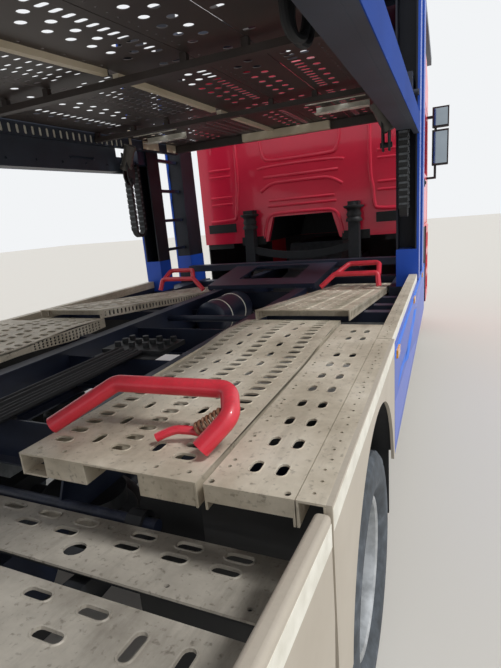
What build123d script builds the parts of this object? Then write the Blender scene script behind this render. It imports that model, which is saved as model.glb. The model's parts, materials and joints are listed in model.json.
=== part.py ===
# Two-axle car transporter truck with a lifting upper deck, in millimetres.
# The front of the truck faces -Y, its left side is +X, and the ground is z = 0.
from build123d import *
import math
import os

os.makedirs("parts", exist_ok=True)

# Overall size
length = 8600
half_width = 1275
front_y = -length / 2
tail_y = length / 2

# Wheels and axles
tyre_r = 425
tyre_half = 132
rim_r = 250
rim_half = 103
rim_flange_r = 262
twin_pitch = 295
rear_axle_y = 1610
front_axle_y = -2900
rear_tyre_x = 1127.5
front_tyre_x = 1040
king_pin_x = 930
disc_inset = twin_pitch / 2

# Chassis rails
rail_out_x = 425
rail_web = 8
rail_flange = 80
rail_top = 1081
rail_low = 820
rail_step_y = 2000
tail_rail_top = 850
tail_rail_low = 640

# Lower deck
deck_z = 1141
channel_h = 60
runway_in_x = 485
runway_out_x = 990
outer_plate_in_x = 1008
outer_plate_out_x = 1203
outer_plate_front_y = 875
edge_plate_front_y = -800
deck_rear_y = 2250
panel_in_x = 1263
plate_wall = 5
arch_profile = ((deck_rear_y, 1141), (1390, 1127), (1060, 1152), (785, 1138))
ramp_in_x = 528
ramp_out_x = 1031
ramp_h = 55
ramp_rear = (768, 1187)
ramp_slope = 0.0922
ramp_joint_y = (-640, -650)
ramp_front_y = -1330

# Cab
cab_rear_y = -2020
cab_wall = 60
cab_half = 1225
cab_low = 1400

# Lift posts and upper deck
post_in_x = 1107
post_out_x = 1258
post_rear_y = -810
post_front_y = -1000
tall_post_y = (-1700, -1400)
deck_pitch = 1.5
deck_ref = (0, -905, 2164)
deck_half_in = 1095
deck_bend_u = 1955
deck_plate_w = 260
deck_rear_fall = 0.0472
pin_y = -750
pin_z = 2430
rear_post_y = (4140, 4290)

# Tail deck
tail_pitch = 8
tail_hinge = (0, 2105, 878)
tail_plate_w = (12, 18)
tail_len = 1995
tail_wall_x = (1243, half_width)

sides = (("left", 1), ("right", -1))
deck_plane = Plane(
    origin=deck_ref,
    x_dir=(1, 0, 0),
    z_dir=(0, math.sin(math.radians(deck_pitch)), math.cos(math.radians(deck_pitch))),
)
tail_plane = Plane(
    origin=tail_hinge,
    x_dir=(1, 0, 0),
    z_dir=(0, -math.sin(math.radians(tail_pitch)), math.cos(math.radians(tail_pitch))),
)


def span(x, y, z, mode=Mode.ADD, plane=Plane.XY):
    # A rectangular member between its limits along the three axes of a plane
    middle = tuple((low + high) / 2 for low, high in (x, y, z))
    size = tuple(high - low for low, high in (x, y, z))
    with Locations(plane):
        with Locations(middle):
            Box(*size, mode=mode)


def side_shape(points, x, mode=Mode.ADD):
    # A shape drawn in the side view as (y, z) points and given its width along x
    with BuildSketch(Plane.YZ.offset(x[0])) as outline:
        with BuildLine():
            Polyline(*points, close=True)
        make_face()
    extrude(outline.sketch, amount=x[1] - x[0], mode=mode)


def deck_point(u, w):
    # (y, z) at u along the upper deck, towards the rear, and w above its side rail's low edge
    slope = math.radians(deck_pitch)
    return (deck_ref[1] + u * math.cos(slope) + w * math.sin(slope),
            deck_ref[2] - u * math.sin(slope) + w * math.cos(slope))


def plate_w(u):
    # Height of the upper plates' underside, which falls more steeply behind the bend
    return deck_plate_w - deck_rear_fall * max(0, u - deck_bend_u)


def tail_point(u, w):
    # (y, z) at u along the tail deck and w above the line through its hinge
    slope = math.radians(tail_pitch)
    return (tail_hinge[1] + u * math.cos(slope) - w * math.sin(slope),
            tail_hinge[2] + u * math.sin(slope) + w * math.cos(slope))


def top_shape(points, z, mode=Mode.ADD):
    # A shape drawn in the plan view as (x, y) points and given its height along z
    with BuildSketch(Plane.XY.offset(z[0])) as outline:
        with BuildLine():
            Polyline(*points, close=True)
        make_face()
    extrude(outline.sketch, amount=z[1] - z[0], mode=mode)


def tube_along(points, radii, radius):
    # A round tube whose centre line runs through the points with tangent arcs
    with BuildLine() as route:
        FilletPolyline(*points, radius=radii)
    start = route.line @ 0
    with BuildSketch(Plane(origin=start, z_dir=route.line % 0)) as section:
        Circle(radius)
    sweep(section.sketch, path=route.line)


# Chassis rails: two channels that step down behind the axle
with BuildPart() as chassis_rails:
    rail_outline = (
        (-4080, rail_low), (rail_step_y + 80, rail_low), (rail_step_y + 220, tail_rail_low),
        (4180, tail_rail_low), (4180, tail_rail_top), (rail_step_y + 130, tail_rail_top),
        (rail_step_y + 30, rail_top), (-4080, rail_top),
    )
    side_shape(rail_outline, (rail_out_x - rail_web, rail_out_x))
    flange_x = (rail_out_x - rail_flange, rail_out_x - rail_web)
    span(flange_x, (-4080, rail_step_y + 30), (rail_top - rail_web, rail_top))
    span(flange_x, (-4080, rail_step_y + 80), (rail_low, rail_low + rail_web))
    span(flange_x, (rail_step_y + 130, 4180), (tail_rail_top - rail_web, tail_rail_top))
    span(flange_x, (rail_step_y + 220, 4180), (tail_rail_low, tail_rail_low + rail_web))
    mirror(about=Plane.YZ)
    with Locations(tail_hinge):
        Cylinder(20, 1000, rotation=(0, 90, 0), mode=Mode.SUBTRACT)
chassis_rails.part.label = "chassis_rails"
export_step(chassis_rails.part, "parts/chassis_rails.step")

# Members between and beside the rails, with the hinge tube of the tail deck
cross_member_y = (-3980, -780, 560, 1180, 1900)
tail_cross_y = (2420, 3250)
tail_cross_x = 1225
side_beam_x = (1215, panel_in_x)
with BuildPart() as frame_members:
    inner_x = rail_out_x - rail_web
    for y in cross_member_y:
        span((-inner_x, inner_x), (y - 4, y + 4), (rail_low + 40, rail_top - 60))
        span((-inner_x, inner_x), (y, y + 45), (rail_low + 40, rail_low + 46))
    for y in tail_cross_y:
        span((-inner_x, inner_x), (y - 4, y + 4), (tail_rail_low + 20, tail_rail_top - 20))
        for sign in (-1, 1):
            reach = tuple(sorted((sign * rail_out_x, sign * tail_cross_x)))
            span(reach, (y - 30, y + 30), (tail_rail_low + 10, tail_rail_low + 70))
    for sign in (-1, 1):
        beam = tuple(sorted((sign * side_beam_x[0], sign * side_beam_x[1])))
        span(beam, (-808, 2020), (rail_top - 41, rail_top))
    with Locations((0, 180, 1000)):
        Cylinder(22, 2 * inner_x, rotation=(0, 90, 0))
    with Locations(tail_hinge):
        Cylinder(20, 1520, rotation=(0, 90, 0))
    span((-1130, 1130), (4180, 4280), (tail_rail_low, tail_rail_top))
frame_members.part.label = "frame_members"
export_step(frame_members.part, "parts/frame_members.step")

# Outriggers that carry the runways, lower where the ramp plates come down
outrigger_rows = (
    # y, top z, outer x
    (1985, 1081, 1215),
    (980, 1081, 1215),
    (300, 1081, 1215),
    (-100, 1040, panel_in_x),
    (-560, 1006, panel_in_x),
    (-1200, 940, 1050),
)
with BuildPart() as frame_outriggers:
    for y, top, outer_x in outrigger_rows:
        span((rail_out_x, outer_x), (y - 35, y + 35), (top - 60, top))
    for y, low in ((300, 1081), (-100, 1040)):
        pad_top = ramp_rear[1] - ramp_slope * (ramp_rear[0] - y + 30) - ramp_h
        span((ramp_in_x, ramp_in_x + 25), (y - 30, y + 30), (low, pad_top))
        span((ramp_out_x - 25, ramp_out_x), (y - 30, y + 30), (low, pad_top))
    mirror(about=Plane.YZ)
frame_outriggers.part.label = "frame_outriggers"
export_step(frame_outriggers.part, "parts/frame_outriggers.step")

# Engine and gearbox as one plain mass with the propeller shaft to the rear axle
with BuildPart() as driveline:
    side_shape(
        ((-3900, 600), (-2800, 600), (-2450, 690), (-1850, 700), (-1850, 900),
         (-2400, 1000), (-2600, 1330), (-3900, 1330)),
        (-330, 330),
    )
driveline.part.label = "engine_block"
export_step(driveline.part, "parts/engine_block.step")

shaft_start = Vector(0, -1836, 745)
shaft_end = Vector(0, 1412, 430)
with BuildPart() as propshaft:
    with BuildSketch(Plane(origin=shaft_start, z_dir=shaft_end - shaft_start)):
        Circle(52)
    extrude(amount=(shaft_end - shaft_start).length)
propshaft.part.label = "propshaft"
export_step(propshaft.part, "parts/propshaft.step")

# Front axle: a dropped beam with king pin eyes, and the leaf springs above it
beam_z = 345
eye_half = 60
spring_x = (355, 430)
with BuildPart() as front_axle:
    with BuildSketch(Plane.XZ.offset(-front_axle_y - 45)) as beam:
        with BuildLine():
            Polyline(
                (-king_pin_x, tyre_r - 45), (-king_pin_x, tyre_r + 45), (-740, tyre_r + 20),
                (-620, beam_z + 55), (620, beam_z + 55), (740, tyre_r + 20),
                (king_pin_x, tyre_r + 45), (king_pin_x, tyre_r - 45), (720, tyre_r - 75),
                (600, beam_z - 55), (-600, beam_z - 55), (-720, tyre_r - 75), close=True,
            )
        make_face()
    extrude(beam.sketch, amount=90)
    for sign in (-1, 1):
        with Locations((sign * king_pin_x, front_axle_y, tyre_r)):
            Cylinder(48, 2 * eye_half)
            Cylinder(20, 200)
    with BuildSketch(Plane.YZ.offset(spring_x[0])) as leaf:
        with BuildLine():
            low = ThreePointArc((-3560, 640), (front_axle_y, 395), (-2240, 640))
            high = ThreePointArc((-3560, 685), (front_axle_y, 450), (-2240, 685))
            Line(low @ 0, high @ 0)
            Line(low @ 1, high @ 1)
        make_face()
    extrude(leaf.sketch, amount=spring_x[1] - spring_x[0])
    for y in (-3560, -2240):
        side_shape(((y - 45, 600), (y + 45, 600), (y + 70, rail_low), (y - 70, rail_low)),
                   spring_x)
    mirror(about=Plane.YZ)
front_axle.part.label = "front_axle_beam"
export_step(front_axle.part, "parts/front_axle_beam.step")

# Rear axle: banjo housing with spindles, and the air suspension beams and bellows
bellow_offset = 330
with BuildPart() as rear_axle:
    axle_plane = Plane(origin=(0, rear_axle_y, tyre_r), x_dir=(1, 0, 0), z_dir=(0, -1, 0))
    with BuildSketch(axle_plane) as half_section:
        with BuildLine():
            Polyline((0, 0), (1085, 0), (1085, 60), (700, 60), (690, 70), (260, 72))
            ThreePointArc((260, 72), (150, 165), (0, 185))
            Line((0, 185), (0, 0))
        make_face()
    revolve(half_section.sketch, axis=Axis((0, rear_axle_y, tyre_r), (1, 0, 0)))
    span((352, 430), (rear_axle_y - 450, rear_axle_y + 450), (tyre_r + 60, 560))
    for y in (rear_axle_y - bellow_offset, rear_axle_y + bellow_offset):
        with BuildSketch(Plane(origin=(391, y, 0), x_dir=(1, 0, 0), z_dir=(0, -1, 0))) as bellow:
            with BuildLine():
                Polyline((0, 560), (95, 560), (95, 600))
                ThreePointArc((95, 600), (128, 645), (104, 690))
                ThreePointArc((104, 690), (128, 735), (100, 775))
                Polyline((100, 775), (100, rail_low), (0, rail_low), (0, 560))
            make_face()
        revolve(bellow.sketch, axis=Axis((391, y, 0), (0, 0, 1)))
    mirror(about=Plane.YZ)
rear_axle.part.label = "rear_axle_housing"
export_step(rear_axle.part, "parts/rear_axle_housing.step")


# Tyres and rims are turned about the axle line, in (x, radius) sections
def tyre_ring(centre_x, axle_y):
    bead = rim_half - 10
    plane = Plane(origin=(0, axle_y, tyre_r), x_dir=(1, 0, 0), z_dir=(0, -1, 0))
    with BuildSketch(plane) as section:
        with BuildLine():
            Polyline((centre_x + bead, rim_r + 0.5), (centre_x + bead, rim_r + 14),
                     (centre_x + 116, rim_r + 50))
            ThreePointArc((centre_x + 116, rim_r + 50), (centre_x + tyre_half, rim_r + 98),
                          (centre_x + 122, tyre_r - 32))
            Polyline((centre_x + 122, tyre_r - 32), (centre_x + 106, tyre_r - 3),
                     (centre_x, tyre_r), (centre_x - 106, tyre_r - 3),
                     (centre_x - 122, tyre_r - 32))
            ThreePointArc((centre_x - 122, tyre_r - 32), (centre_x - tyre_half, rim_r + 98),
                          (centre_x - 116, rim_r + 50))
            Polyline((centre_x - 116, rim_r + 50), (centre_x - bead, rim_r + 14),
                     (centre_x - bead, rim_r + 0.5), (centre_x + bead, rim_r + 0.5))
        make_face()
    revolve(section.sketch, axis=Axis((0, axle_y, tyre_r), (1, 0, 0)))


def rim_body(centre_x, disc_x, hub, axle_y, hand_holes=8):
    # hub is a list of (x, radius) points that closes the section from the disc's inner
    # face to its outer face, or a plain bore
    way = 1 if centre_x > disc_x else -1
    near = centre_x - way * rim_half
    far = centre_x + way * rim_half
    flange = 8 * way
    plane = Plane(origin=(0, axle_y, tyre_r), x_dir=(1, 0, 0), z_dir=(0, -1, 0))
    with BuildSketch(plane) as section:
        with BuildLine():
            Polyline(
                (far, rim_flange_r), (far - flange, rim_flange_r), (far - flange, rim_r),
                (near + flange, rim_r), (near + flange, rim_flange_r), (near, rim_flange_r),
                (near, rim_r - 4), (disc_x, 200), *hub, (disc_x + way * 14, 196),
                (near + way * 18, rim_r - 10), (far, rim_r - 10), close=True,
            )
        make_face()
    revolve(section.sketch, axis=Axis((0, axle_y, tyre_r), (1, 0, 0)))
    hole_plane = Plane(origin=(disc_x - way * 30, axle_y, tyre_r), x_dir=(0, 1, 0),
                       z_dir=(way, 0, 0))
    with BuildSketch(hole_plane) as holes:
        with PolarLocations(163, hand_holes):
            SlotOverall(52, 34)
    extrude(holes.sketch, amount=90, mode=Mode.SUBTRACT)


hub_r = 100
for side, sign in sides:
    rear_disc_x = rear_tyre_x - disc_inset
    with BuildPart() as rear_tyres:
        tyre_ring(sign * rear_tyre_x, rear_axle_y)
        tyre_ring(sign * (rear_tyre_x - twin_pitch), rear_axle_y)
    rear_tyres.part.label = f"rear_tyres_{side}"
    export_step(rear_tyres.part, f"parts/rear_tyres_{side}.step")

    rear_hub = [(x * sign, r) for x, r in (
        (rear_disc_x, hub_r), (rear_disc_x - 70, hub_r), (rear_disc_x - 70, 66),
        (rear_disc_x + 118, 66), (rear_disc_x + 118, 0), (rear_disc_x + 132, 0),
        (rear_disc_x + 132, 84), (rear_disc_x + 60, hub_r), (rear_disc_x + 14, hub_r),
    )]
    plain_bore = [(x * sign, r) for x, r in (
        (rear_disc_x, hub_r + 1), (rear_disc_x - 14, hub_r + 1))]
    with BuildPart() as rear_rims:
        rim_body(sign * rear_tyre_x, sign * rear_disc_x, rear_hub, rear_axle_y)
        rim_body(sign * (rear_tyre_x - twin_pitch), sign * rear_disc_x, plain_bore, rear_axle_y)
    rear_rims.part.label = f"rear_rims_{side}"
    export_step(rear_rims.part, f"parts/rear_rims_{side}.step")

    front_disc_x = front_tyre_x + disc_inset
    with BuildPart() as front_tyre:
        tyre_ring(sign * front_tyre_x, front_axle_y)
    front_tyre.part.label = f"front_tyre_{side}"
    export_step(front_tyre.part, f"parts/front_tyre_{side}.step")

    front_hub = [(x * sign, r) for x, r in (
        (front_disc_x, hub_r), (front_disc_x + 45, 84), (front_disc_x + 45, 0),
        (front_disc_x + 30, 0), (front_disc_x + 30, 46), (front_disc_x - 105, 46),
        (front_disc_x - 105, hub_r), (front_disc_x - 14, hub_r),
    )]
    with BuildPart() as front_rim:
        rim_body(sign * front_tyre_x, sign * front_disc_x, front_hub, front_axle_y)
    front_rim.part.label = f"front_rim_{side}"
    export_step(front_rim.part, f"parts/front_rim_{side}.step")

# Steering knuckles: a fork over each king pin eye, the wheel spindle and a steering arm
arm_y = front_axle_y + 165
arm_x = king_pin_x - 50
for side, sign in sides:
    with BuildPart() as knuckle:
        for z in ((tyre_r + 66, tyre_r + 90), (tyre_r - 90, tyre_r - 66)):
            fork = [(sign * x, y) for x, y in (
                (king_pin_x - 42, front_axle_y - 42), (king_pin_x + 85, front_axle_y - 58),
                (king_pin_x + 85, front_axle_y + 58), (king_pin_x - 42, front_axle_y + 42))]
            top_shape(fork, z)
        low, high = sorted((sign * (king_pin_x + 60), sign * (king_pin_x + 85)))
        span((low, high), (front_axle_y - 58, front_axle_y + 58), (tyre_r - 90, tyre_r + 90))
        low, high = sorted((sign * (king_pin_x + 85), sign * (front_disc_x + 20)))
        with Locations(((low + high) / 2, front_axle_y, tyre_r)):
            Cylinder(40, high - low, rotation=(0, 90, 0))
        arm = [(sign * x, y) for x, y in (
            (king_pin_x - 42, front_axle_y), (king_pin_x + 20, front_axle_y + 40),
            (arm_x + 24, arm_y + 20), (arm_x - 20, arm_y + 20))]
        top_shape(arm, (tyre_r - 90, tyre_r - 66))
        with Locations((sign * king_pin_x, front_axle_y, tyre_r)):
            Cylinder(23, 260, mode=Mode.SUBTRACT)
    knuckle.part.label = f"knuckle_{side}"
    export_step(knuckle.part, f"parts/knuckle_{side}.step")

with BuildPart() as tie_rod:
    with Locations((0, arm_y, tyre_r - 118)):
        Cylinder(16, 2 * arm_x, rotation=(0, 90, 0))
    for sign in (-1, 1):
        with Locations((sign * arm_x, arm_y, tyre_r - 118)):
            Cylinder(24, 40)
tie_rod.part.label = "tie_rod"
export_step(tie_rod.part, "parts/tie_rod.step")

# Cab shell: a side profile given its width, hollowed, with the openings cut
cab_skin_rear = cab_rear_y - cab_wall
cab_outline = (
    (cab_skin_rear, cab_low), (cab_skin_rear, 3160), (-2200, 3260), (-3600, 3290),
    (-3960, 3180), (-4090, 2760), (-4225, 1960), (-4265, cab_low),
)
cab_hollow = (
    (cab_skin_rear + 1, cab_low + 60), (cab_skin_rear + 1, 3130), (-2215, 3200), (-3580, 3230),
    (-3912, 3140), (-4030, 2750), (-4163, 1955), (-4200, cab_low + 60),
)
tunnel_top = 1670
door_outline = (
    (-4000, 1440), (-2990, 1440), (-2990, 2780), (-3890, 2780), (-4000, 2150),
)
door_gap = 8
window_outline = (
    (-3905, 2030), (-3080, 2030), (-3080, 2690), (-3812, 2690), (-3905, 2130),
)
screen_low = Vector(0, -4225, 1960)
screen_high = Vector(0, -4090, 2760)
screen_run = (screen_high - screen_low).normalized()
screen_out = Vector(0, -screen_run.Z, screen_run.Y)
screen_plane = Plane(origin=(screen_low + screen_high) * 0.5, x_dir=(1, 0, 0), z_dir=screen_out)
screen_size = (2120, 720)
with BuildPart() as cab_shell:
    side_shape(cab_outline, (-cab_half, cab_half))
    front_edges = cab_shell.edges().filter_by(
        lambda edge: edge.center().Y < -3700 and abs(edge.center().X) > cab_half - 1
        and abs((edge % 0.5).X) < 0.01)
    fillet(front_edges, 90)
    side_shape(cab_hollow, (cab_wall - cab_half, cab_half - cab_wall), Mode.SUBTRACT)
    with BuildSketch(Plane.XZ.offset(-cab_skin_rear)) as tunnel:
        with BuildLine():
            Polyline((-455, cab_low), (455, cab_low), (372, 1710), (-372, 1710), close=True)
        make_face()
    extrude(tunnel.sketch, amount=1300)
    with BuildSketch(Plane.XZ.offset(-cab_skin_rear)) as tunnel_void:
        with BuildLine():
            Polyline((-415, cab_low), (415, cab_low), (335, tunnel_top), (-335, tunnel_top),
                     close=True)
        make_face()
    extrude(tunnel_void.sketch, amount=1260, mode=Mode.SUBTRACT)
    with BuildSketch(screen_plane.offset(-90)) as screen_cut:
        RectangleRounded(*screen_size, 60)
    extrude(screen_cut.sketch, amount=140, mode=Mode.SUBTRACT)
    with BuildSketch(Plane.YZ.offset(-cab_half - 10)) as door_cut:
        with BuildLine():
            Polyline(*door_outline, close=True)
        make_face()
        offset(amount=door_gap, kind=Kind.INTERSECTION)
    extrude(door_cut.sketch, amount=2 * cab_half + 20, mode=Mode.SUBTRACT)
cab_shell.part.label = "cab_shell"
export_step(cab_shell.part, "parts/cab_shell.step")

with BuildPart() as windscreen:
    with BuildSketch(screen_plane.offset(-14)):
        RectangleRounded(*screen_size, 60)
    extrude(amount=6)
windscreen.part.label = "windscreen"
export_step(windscreen.part, "parts/windscreen.step")

# Rear wall of the cab with its pressed ribs and the tunnel's cut-out
with BuildPart() as cab_rear_wall:
    with BuildSketch(Plane.XZ.offset(-cab_rear_y)) as wall:
        with BuildLine():
            Polyline((-cab_half, cab_low), (-415, cab_low), (-335, tunnel_top),
                     (335, tunnel_top), (415, cab_low), (cab_half, cab_low),
                     (cab_half, 3060), (cab_half - 60, 3160), (60 - cab_half, 3160),
                     (-cab_half, 3060), close=True)
        make_face()
    extrude(wall.sketch, amount=cab_wall)
    rib_rows = (2020, 2240, 2460)
    for z in rib_rows:
        span((-820, 820), (cab_rear_y, cab_rear_y + 14), (z - 28, z + 28))
    for sign in (-1, 1):
        low, high = sorted((sign * 930, sign * 1130))
        span((low, high), (cab_rear_y, cab_rear_y + 14), (1560, 2900))
cab_rear_wall.part.label = "cab_rear_wall"
export_step(cab_rear_wall.part, "parts/cab_rear_wall.step")

# Cab doors with their glass and mirrors
for side, sign in sides:
    inner, outer = cab_half - 57, cab_half - 2
    low, high = sorted((sign * inner, sign * outer))
    with BuildPart() as door:
        side_shape(door_outline, (low, high))
        side_shape(window_outline, (low - 5, high + 5), Mode.SUBTRACT)
    door.part.label = f"door_{side}"
    export_step(door.part, f"parts/door_{side}.step")

    glass_low, glass_high = sorted((sign * (inner + 24), sign * (inner + 30)))
    with BuildPart() as door_glass:
        side_shape(window_outline, (glass_low, glass_high))
    door_glass.part.label = f"door_glass_{side}"
    export_step(door_glass.part, f"parts/door_glass_{side}.step")

    mirror_rows = ((2610, 2850), (2150, 2580))
    with BuildPart() as door_mirror:
        for z_low, z_high in mirror_rows:
            body = [(sign * x, y) for x, y in (
                (1290, -3830), (1470, -3830), (1482, -3800), (1482, -3745), (1285, -3745))]
            top_shape(body, (z_low, z_high))
        arm_low, arm_high = sorted((sign * outer, sign * 1340))
        span((arm_low, arm_high), (-3800, -3760), (2725, 2755))
        span((arm_low, arm_high), (-3800, -3760), (1985, 2012))
        post_low, post_high = sorted((sign * 1310, sign * 1340))
        span((post_low, post_high), (-3800, -3760), (1985, 2755))
    door_mirror.part.label = f"mirror_{side}"
    export_step(door_mirror.part, f"parts/mirror_{side}.step")

# Cab inside: dashboard with the steering wheel, seats and bunk
with BuildPart() as dashboard:
    side_shape(
        ((-4176, 1780), (-3880, 1700), (-3700, 1760), (-3660, 1900), (-3760, 2010),
         (-4150, 2030), (-4163, 1955)),
        (-1160, 1160),
    )
    wheel_plane = Plane(origin=(700, -3560, 2050), x_dir=(1, 0, 0), z_dir=(0, 0.42, 0.91))
    with Locations(wheel_plane):
        Torus(220, 16)
        Cylinder(60, 40)
    for angle in (90, 210, 330):
        with Locations(wheel_plane):
            with Locations(Location((0, 0, 0), (0, 0, angle))):
                with Locations((130, 0, 0)):
                    Box(180, 34, 18)
    column_end = Vector(700, -3725, 1840)
    column_start = Vector(700, -3566, 2036)
    with BuildSketch(Plane(origin=column_start, z_dir=column_end - column_start)) as column:
        Circle(28)
    extrude(column.sketch, amount=(column_end - column_start).length - 40)
dashboard.part.label = "dashboard"
export_step(dashboard.part, "parts/dashboard.step")

with BuildPart() as cab_seats:
    for sign in (-1, 1):
        x = tuple(sorted((sign * 475, sign * 965)))
        side_shape(((-3500, 1560), (-3000, 1540), (-2960, 1690), (-3030, 1780), (-3500, 1800)), x)
        side_shape(((-3060, 1700), (-2960, 1660), (-2790, 2420), (-2900, 2450)), x)
        span((sign * 720 - 170, sign * 720 + 170), (-3400, -3080), (1460, 1560))
    span((-1165, 1165), (-2680, cab_skin_rear), (1720, 1860))
cab_seats.part.label = "cab_seats"
export_step(cab_seats.part, "parts/cab_seats.step")

# Front panel with its slats, bumper with the entry steps, and the lamps
with BuildPart() as front_grille:
    grille_low = Vector(0, -4265, cab_low)
    grille_high = Vector(0, -4225, 1960)
    grille_run = (grille_high - grille_low).normalized()
    grille_plane = Plane(origin=grille_low, x_dir=(1, 0, 0),
                         z_dir=Vector(0, -grille_run.Z, grille_run.Y))
    with BuildSketch(grille_plane) as backing:
        with Locations((0, 270)):
            RectangleRounded(1720, 500, 60)
    extrude(backing.sketch, amount=8)
    for row in range(5):
        with BuildSketch(grille_plane.offset(8)) as slat:
            with Locations((0, 80 + 95 * row)):
                RectangleRounded(1600, 52, 24)
        extrude(slat.sketch, amount=20)
front_grille.part.label = "front_grille"
export_step(front_grille.part, "parts/front_grille.step")

with BuildPart() as front_bumper:
    with BuildSketch(Plane.XY.offset(400)) as beam:
        with BuildLine():
            Polyline((-1240, -3480), (-1240, -4150), (-1130, -4290), (-700, front_y),
                     (700, front_y), (1130, -4290), (1240, -4150), (1240, -3480),
                     (900, -3480), (900, -4100), (-900, -4100), (-900, -3480), close=True)
        make_face()
    extrude(beam.sketch, amount=cab_low - 400)
    for row in range(3):
        for sign in (-1, 1):
            x = tuple(sorted((sign * 1000, sign * 1260)))
            span(x, (-4020, -3560), (520 + row * 290, 520 + row * 290 + 200), Mode.SUBTRACT)
    span((-560, 560), (-4330, -4200), (620, 800), Mode.SUBTRACT)
    for sign in (-1, 1):
        x = tuple(sorted((sign * 820, sign * 1120)))
        span(x, (-4330, -4170), (900, 1090), Mode.SUBTRACT)
front_bumper.part.label = "front_bumper"
export_step(front_bumper.part, "parts/front_bumper.step")

with BuildPart() as headlamps:
    for sign in (-1, 1):
        x = tuple(sorted((sign * 820, sign * 1120)))
        low, high = x
        span((low, high), (-4270, -4170), (900, 1090))
headlamps.part.label = "headlamps"
export_step(headlamps.part, "parts/headlamps.step")

# Front wheel arches: an arched liner with a flat side skirt under the cab
arch_r = 560
arch_z = 480
with BuildPart() as front_wings:
    with BuildSketch(Plane.YZ.offset(880)) as liner:
        with Locations((front_axle_y, arch_z)):
            Circle(arch_r + 14)
            Circle(arch_r, mode=Mode.SUBTRACT)
        with Locations((front_axle_y, arch_z - 400)):
            Rectangle(1400, 900, mode=Mode.SUBTRACT)
    extrude(liner.sketch, amount=345)
    with BuildSketch(Plane.YZ.offset(1210)) as skirt:
        with BuildLine():
            Polyline((-3470, 620), (-3470, cab_low), (-2080, cab_low), (-2080, 900),
                     (-2250, 620), close=True)
        make_face()
        with Locations((front_axle_y, arch_z)):
            Circle(arch_r, mode=Mode.SUBTRACT)
        with Locations((front_axle_y, 300)):
            Rectangle(2 * arch_r, 800, mode=Mode.SUBTRACT)
    extrude(skirt.sketch, amount=15)
    span((880, 1210), (-3470, -3440), (cab_low - 60, cab_low))
    span((880, 1210), (-2110, -2080), (cab_low - 60, cab_low))
    mirror(about=Plane.YZ)
front_wings.part.label = "front_wings"
export_step(front_wings.part, "parts/front_wings.step")

# Rear cab mounts: towers with air springs and a bowed cross-member between them
mount_x = 587
with BuildPart() as cab_mounts:
    for sign in (-1, 1):
        x = tuple(sorted((sign * (mount_x - 55), sign * (mount_x + 55))))
        side_shape(((-1990, 1090), (-1850, 1090), (-1880, 1560), (-1980, 1560)), x)
        with Locations((sign * mount_x, -1930, 1640)):
            Cylinder(62, 160)
        span(x, (cab_rear_y, -1880), (1720, 1760))
        foot = tuple(sorted((sign * 352, sign * (mount_x + 55))))
        span(foot, (-1990, -1850), (rail_top, 1090))
    with BuildSketch(Plane.XZ.offset(1890)) as bow:
        with BuildLine():
            low = ThreePointArc((-mount_x, 1290), (0, 1200), (mount_x, 1290))
            high = ThreePointArc((-mount_x, 1370), (0, 1280), (mount_x, 1370))
            Line(low @ 0, high @ 0)
            Line(low @ 1, high @ 1)
        make_face()
    extrude(bow.sketch, amount=70)
cab_mounts.part.label = "cab_mounts"
export_step(cab_mounts.part, "parts/cab_mounts.step")

# Fuel tank on the right, air tanks in the bay between the runways
fuel_tank_y = (-1670, -640)
with BuildPart() as fuel_tank:
    with BuildSketch(Plane.XZ.offset(-fuel_tank_y[1])) as tank_section:
        with Locations((-890, 652)):
            RectangleRounded(560, 440, 70)
    extrude(tank_section.sketch, amount=fuel_tank_y[1] - fuel_tank_y[0])
    for y in (-1500, -700):
        span((-620, -rail_out_x), (y - 20, y + 20), (600, 860))
fuel_tank.part.label = "fuel_tank"
export_step(fuel_tank.part, "parts/fuel_tank.step")

air_tank_rows = (
    # x, z, front y, rear y, radius
    (215, 930, -650, -60, 135),
    (-200, 905, -1560, -860, 100),
)
with BuildPart() as air_tanks:
    for x, z, y_front, y_rear, radius in air_tank_rows:
        with BuildSketch(Plane(origin=(x, 0, z), x_dir=(0, 1, 0), z_dir=(1, 0, 0))) as half:
            with BuildLine():
                shoulder = radius - 42
                Polyline((y_front, shoulder), (y_front, 0), (y_rear, 0), (y_rear, shoulder))
                ThreePointArc((y_rear, shoulder), (y_rear - 12, radius - 12),
                              (y_rear - 42, radius))
                Line((y_rear - 42, radius), (y_front + 42, radius))
                ThreePointArc((y_front + 42, radius), (y_front + 12, radius - 12),
                              (y_front, shoulder))
            make_face()
        revolve(half.sketch, axis=Axis((x, 0, z), (0, 1, 0)))
        near_web = math.copysign(rail_out_x - rail_web, x)
        strap_x = tuple(sorted((x + math.copysign(radius - 12, x), near_web)))
        for y in (y_front + 120, y_rear - 120):
            span(strap_x, (y - 20, y + 20), (z - 60, z + 60))
air_tanks.part.label = "air_tanks"
export_step(air_tanks.part, "parts/air_tanks.step")

# Hoses clipped along the bay between the rails, and the valve block that they come from
hose_rows = (
    # x, radius
    (152, 15), (116, 15), (78, 11), (50, 11), (20, 11), (-8, 11),
)
hose_z = rail_top - 44
with BuildPart() as hose_bundle:
    for x, radius in hose_rows:
        with BuildSketch(Plane.XZ.offset(-1100)) as hose:
            with Locations((x, hose_z)):
                Circle(radius)
        extrude(hose.sketch, amount=-1000)
    span((-140, 245), (880, 1112), (hose_z - 16, hose_z + 8))
    for column in range(4):
        for row in range(3):
            with Locations((-90 + 92 * column, 915 + 66 * row, hose_z + 20)):
                Cylinder(17, 26)
    span((-30, 180), (1896, 1904), (1021, hose_z - 4))
    span((-140, 245), (1110, 1184), (1021, hose_z - 12))
hose_bundle.part.label = "hose_bundle"
export_step(hose_bundle.part, "parts/hose_bundle.step")

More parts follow.
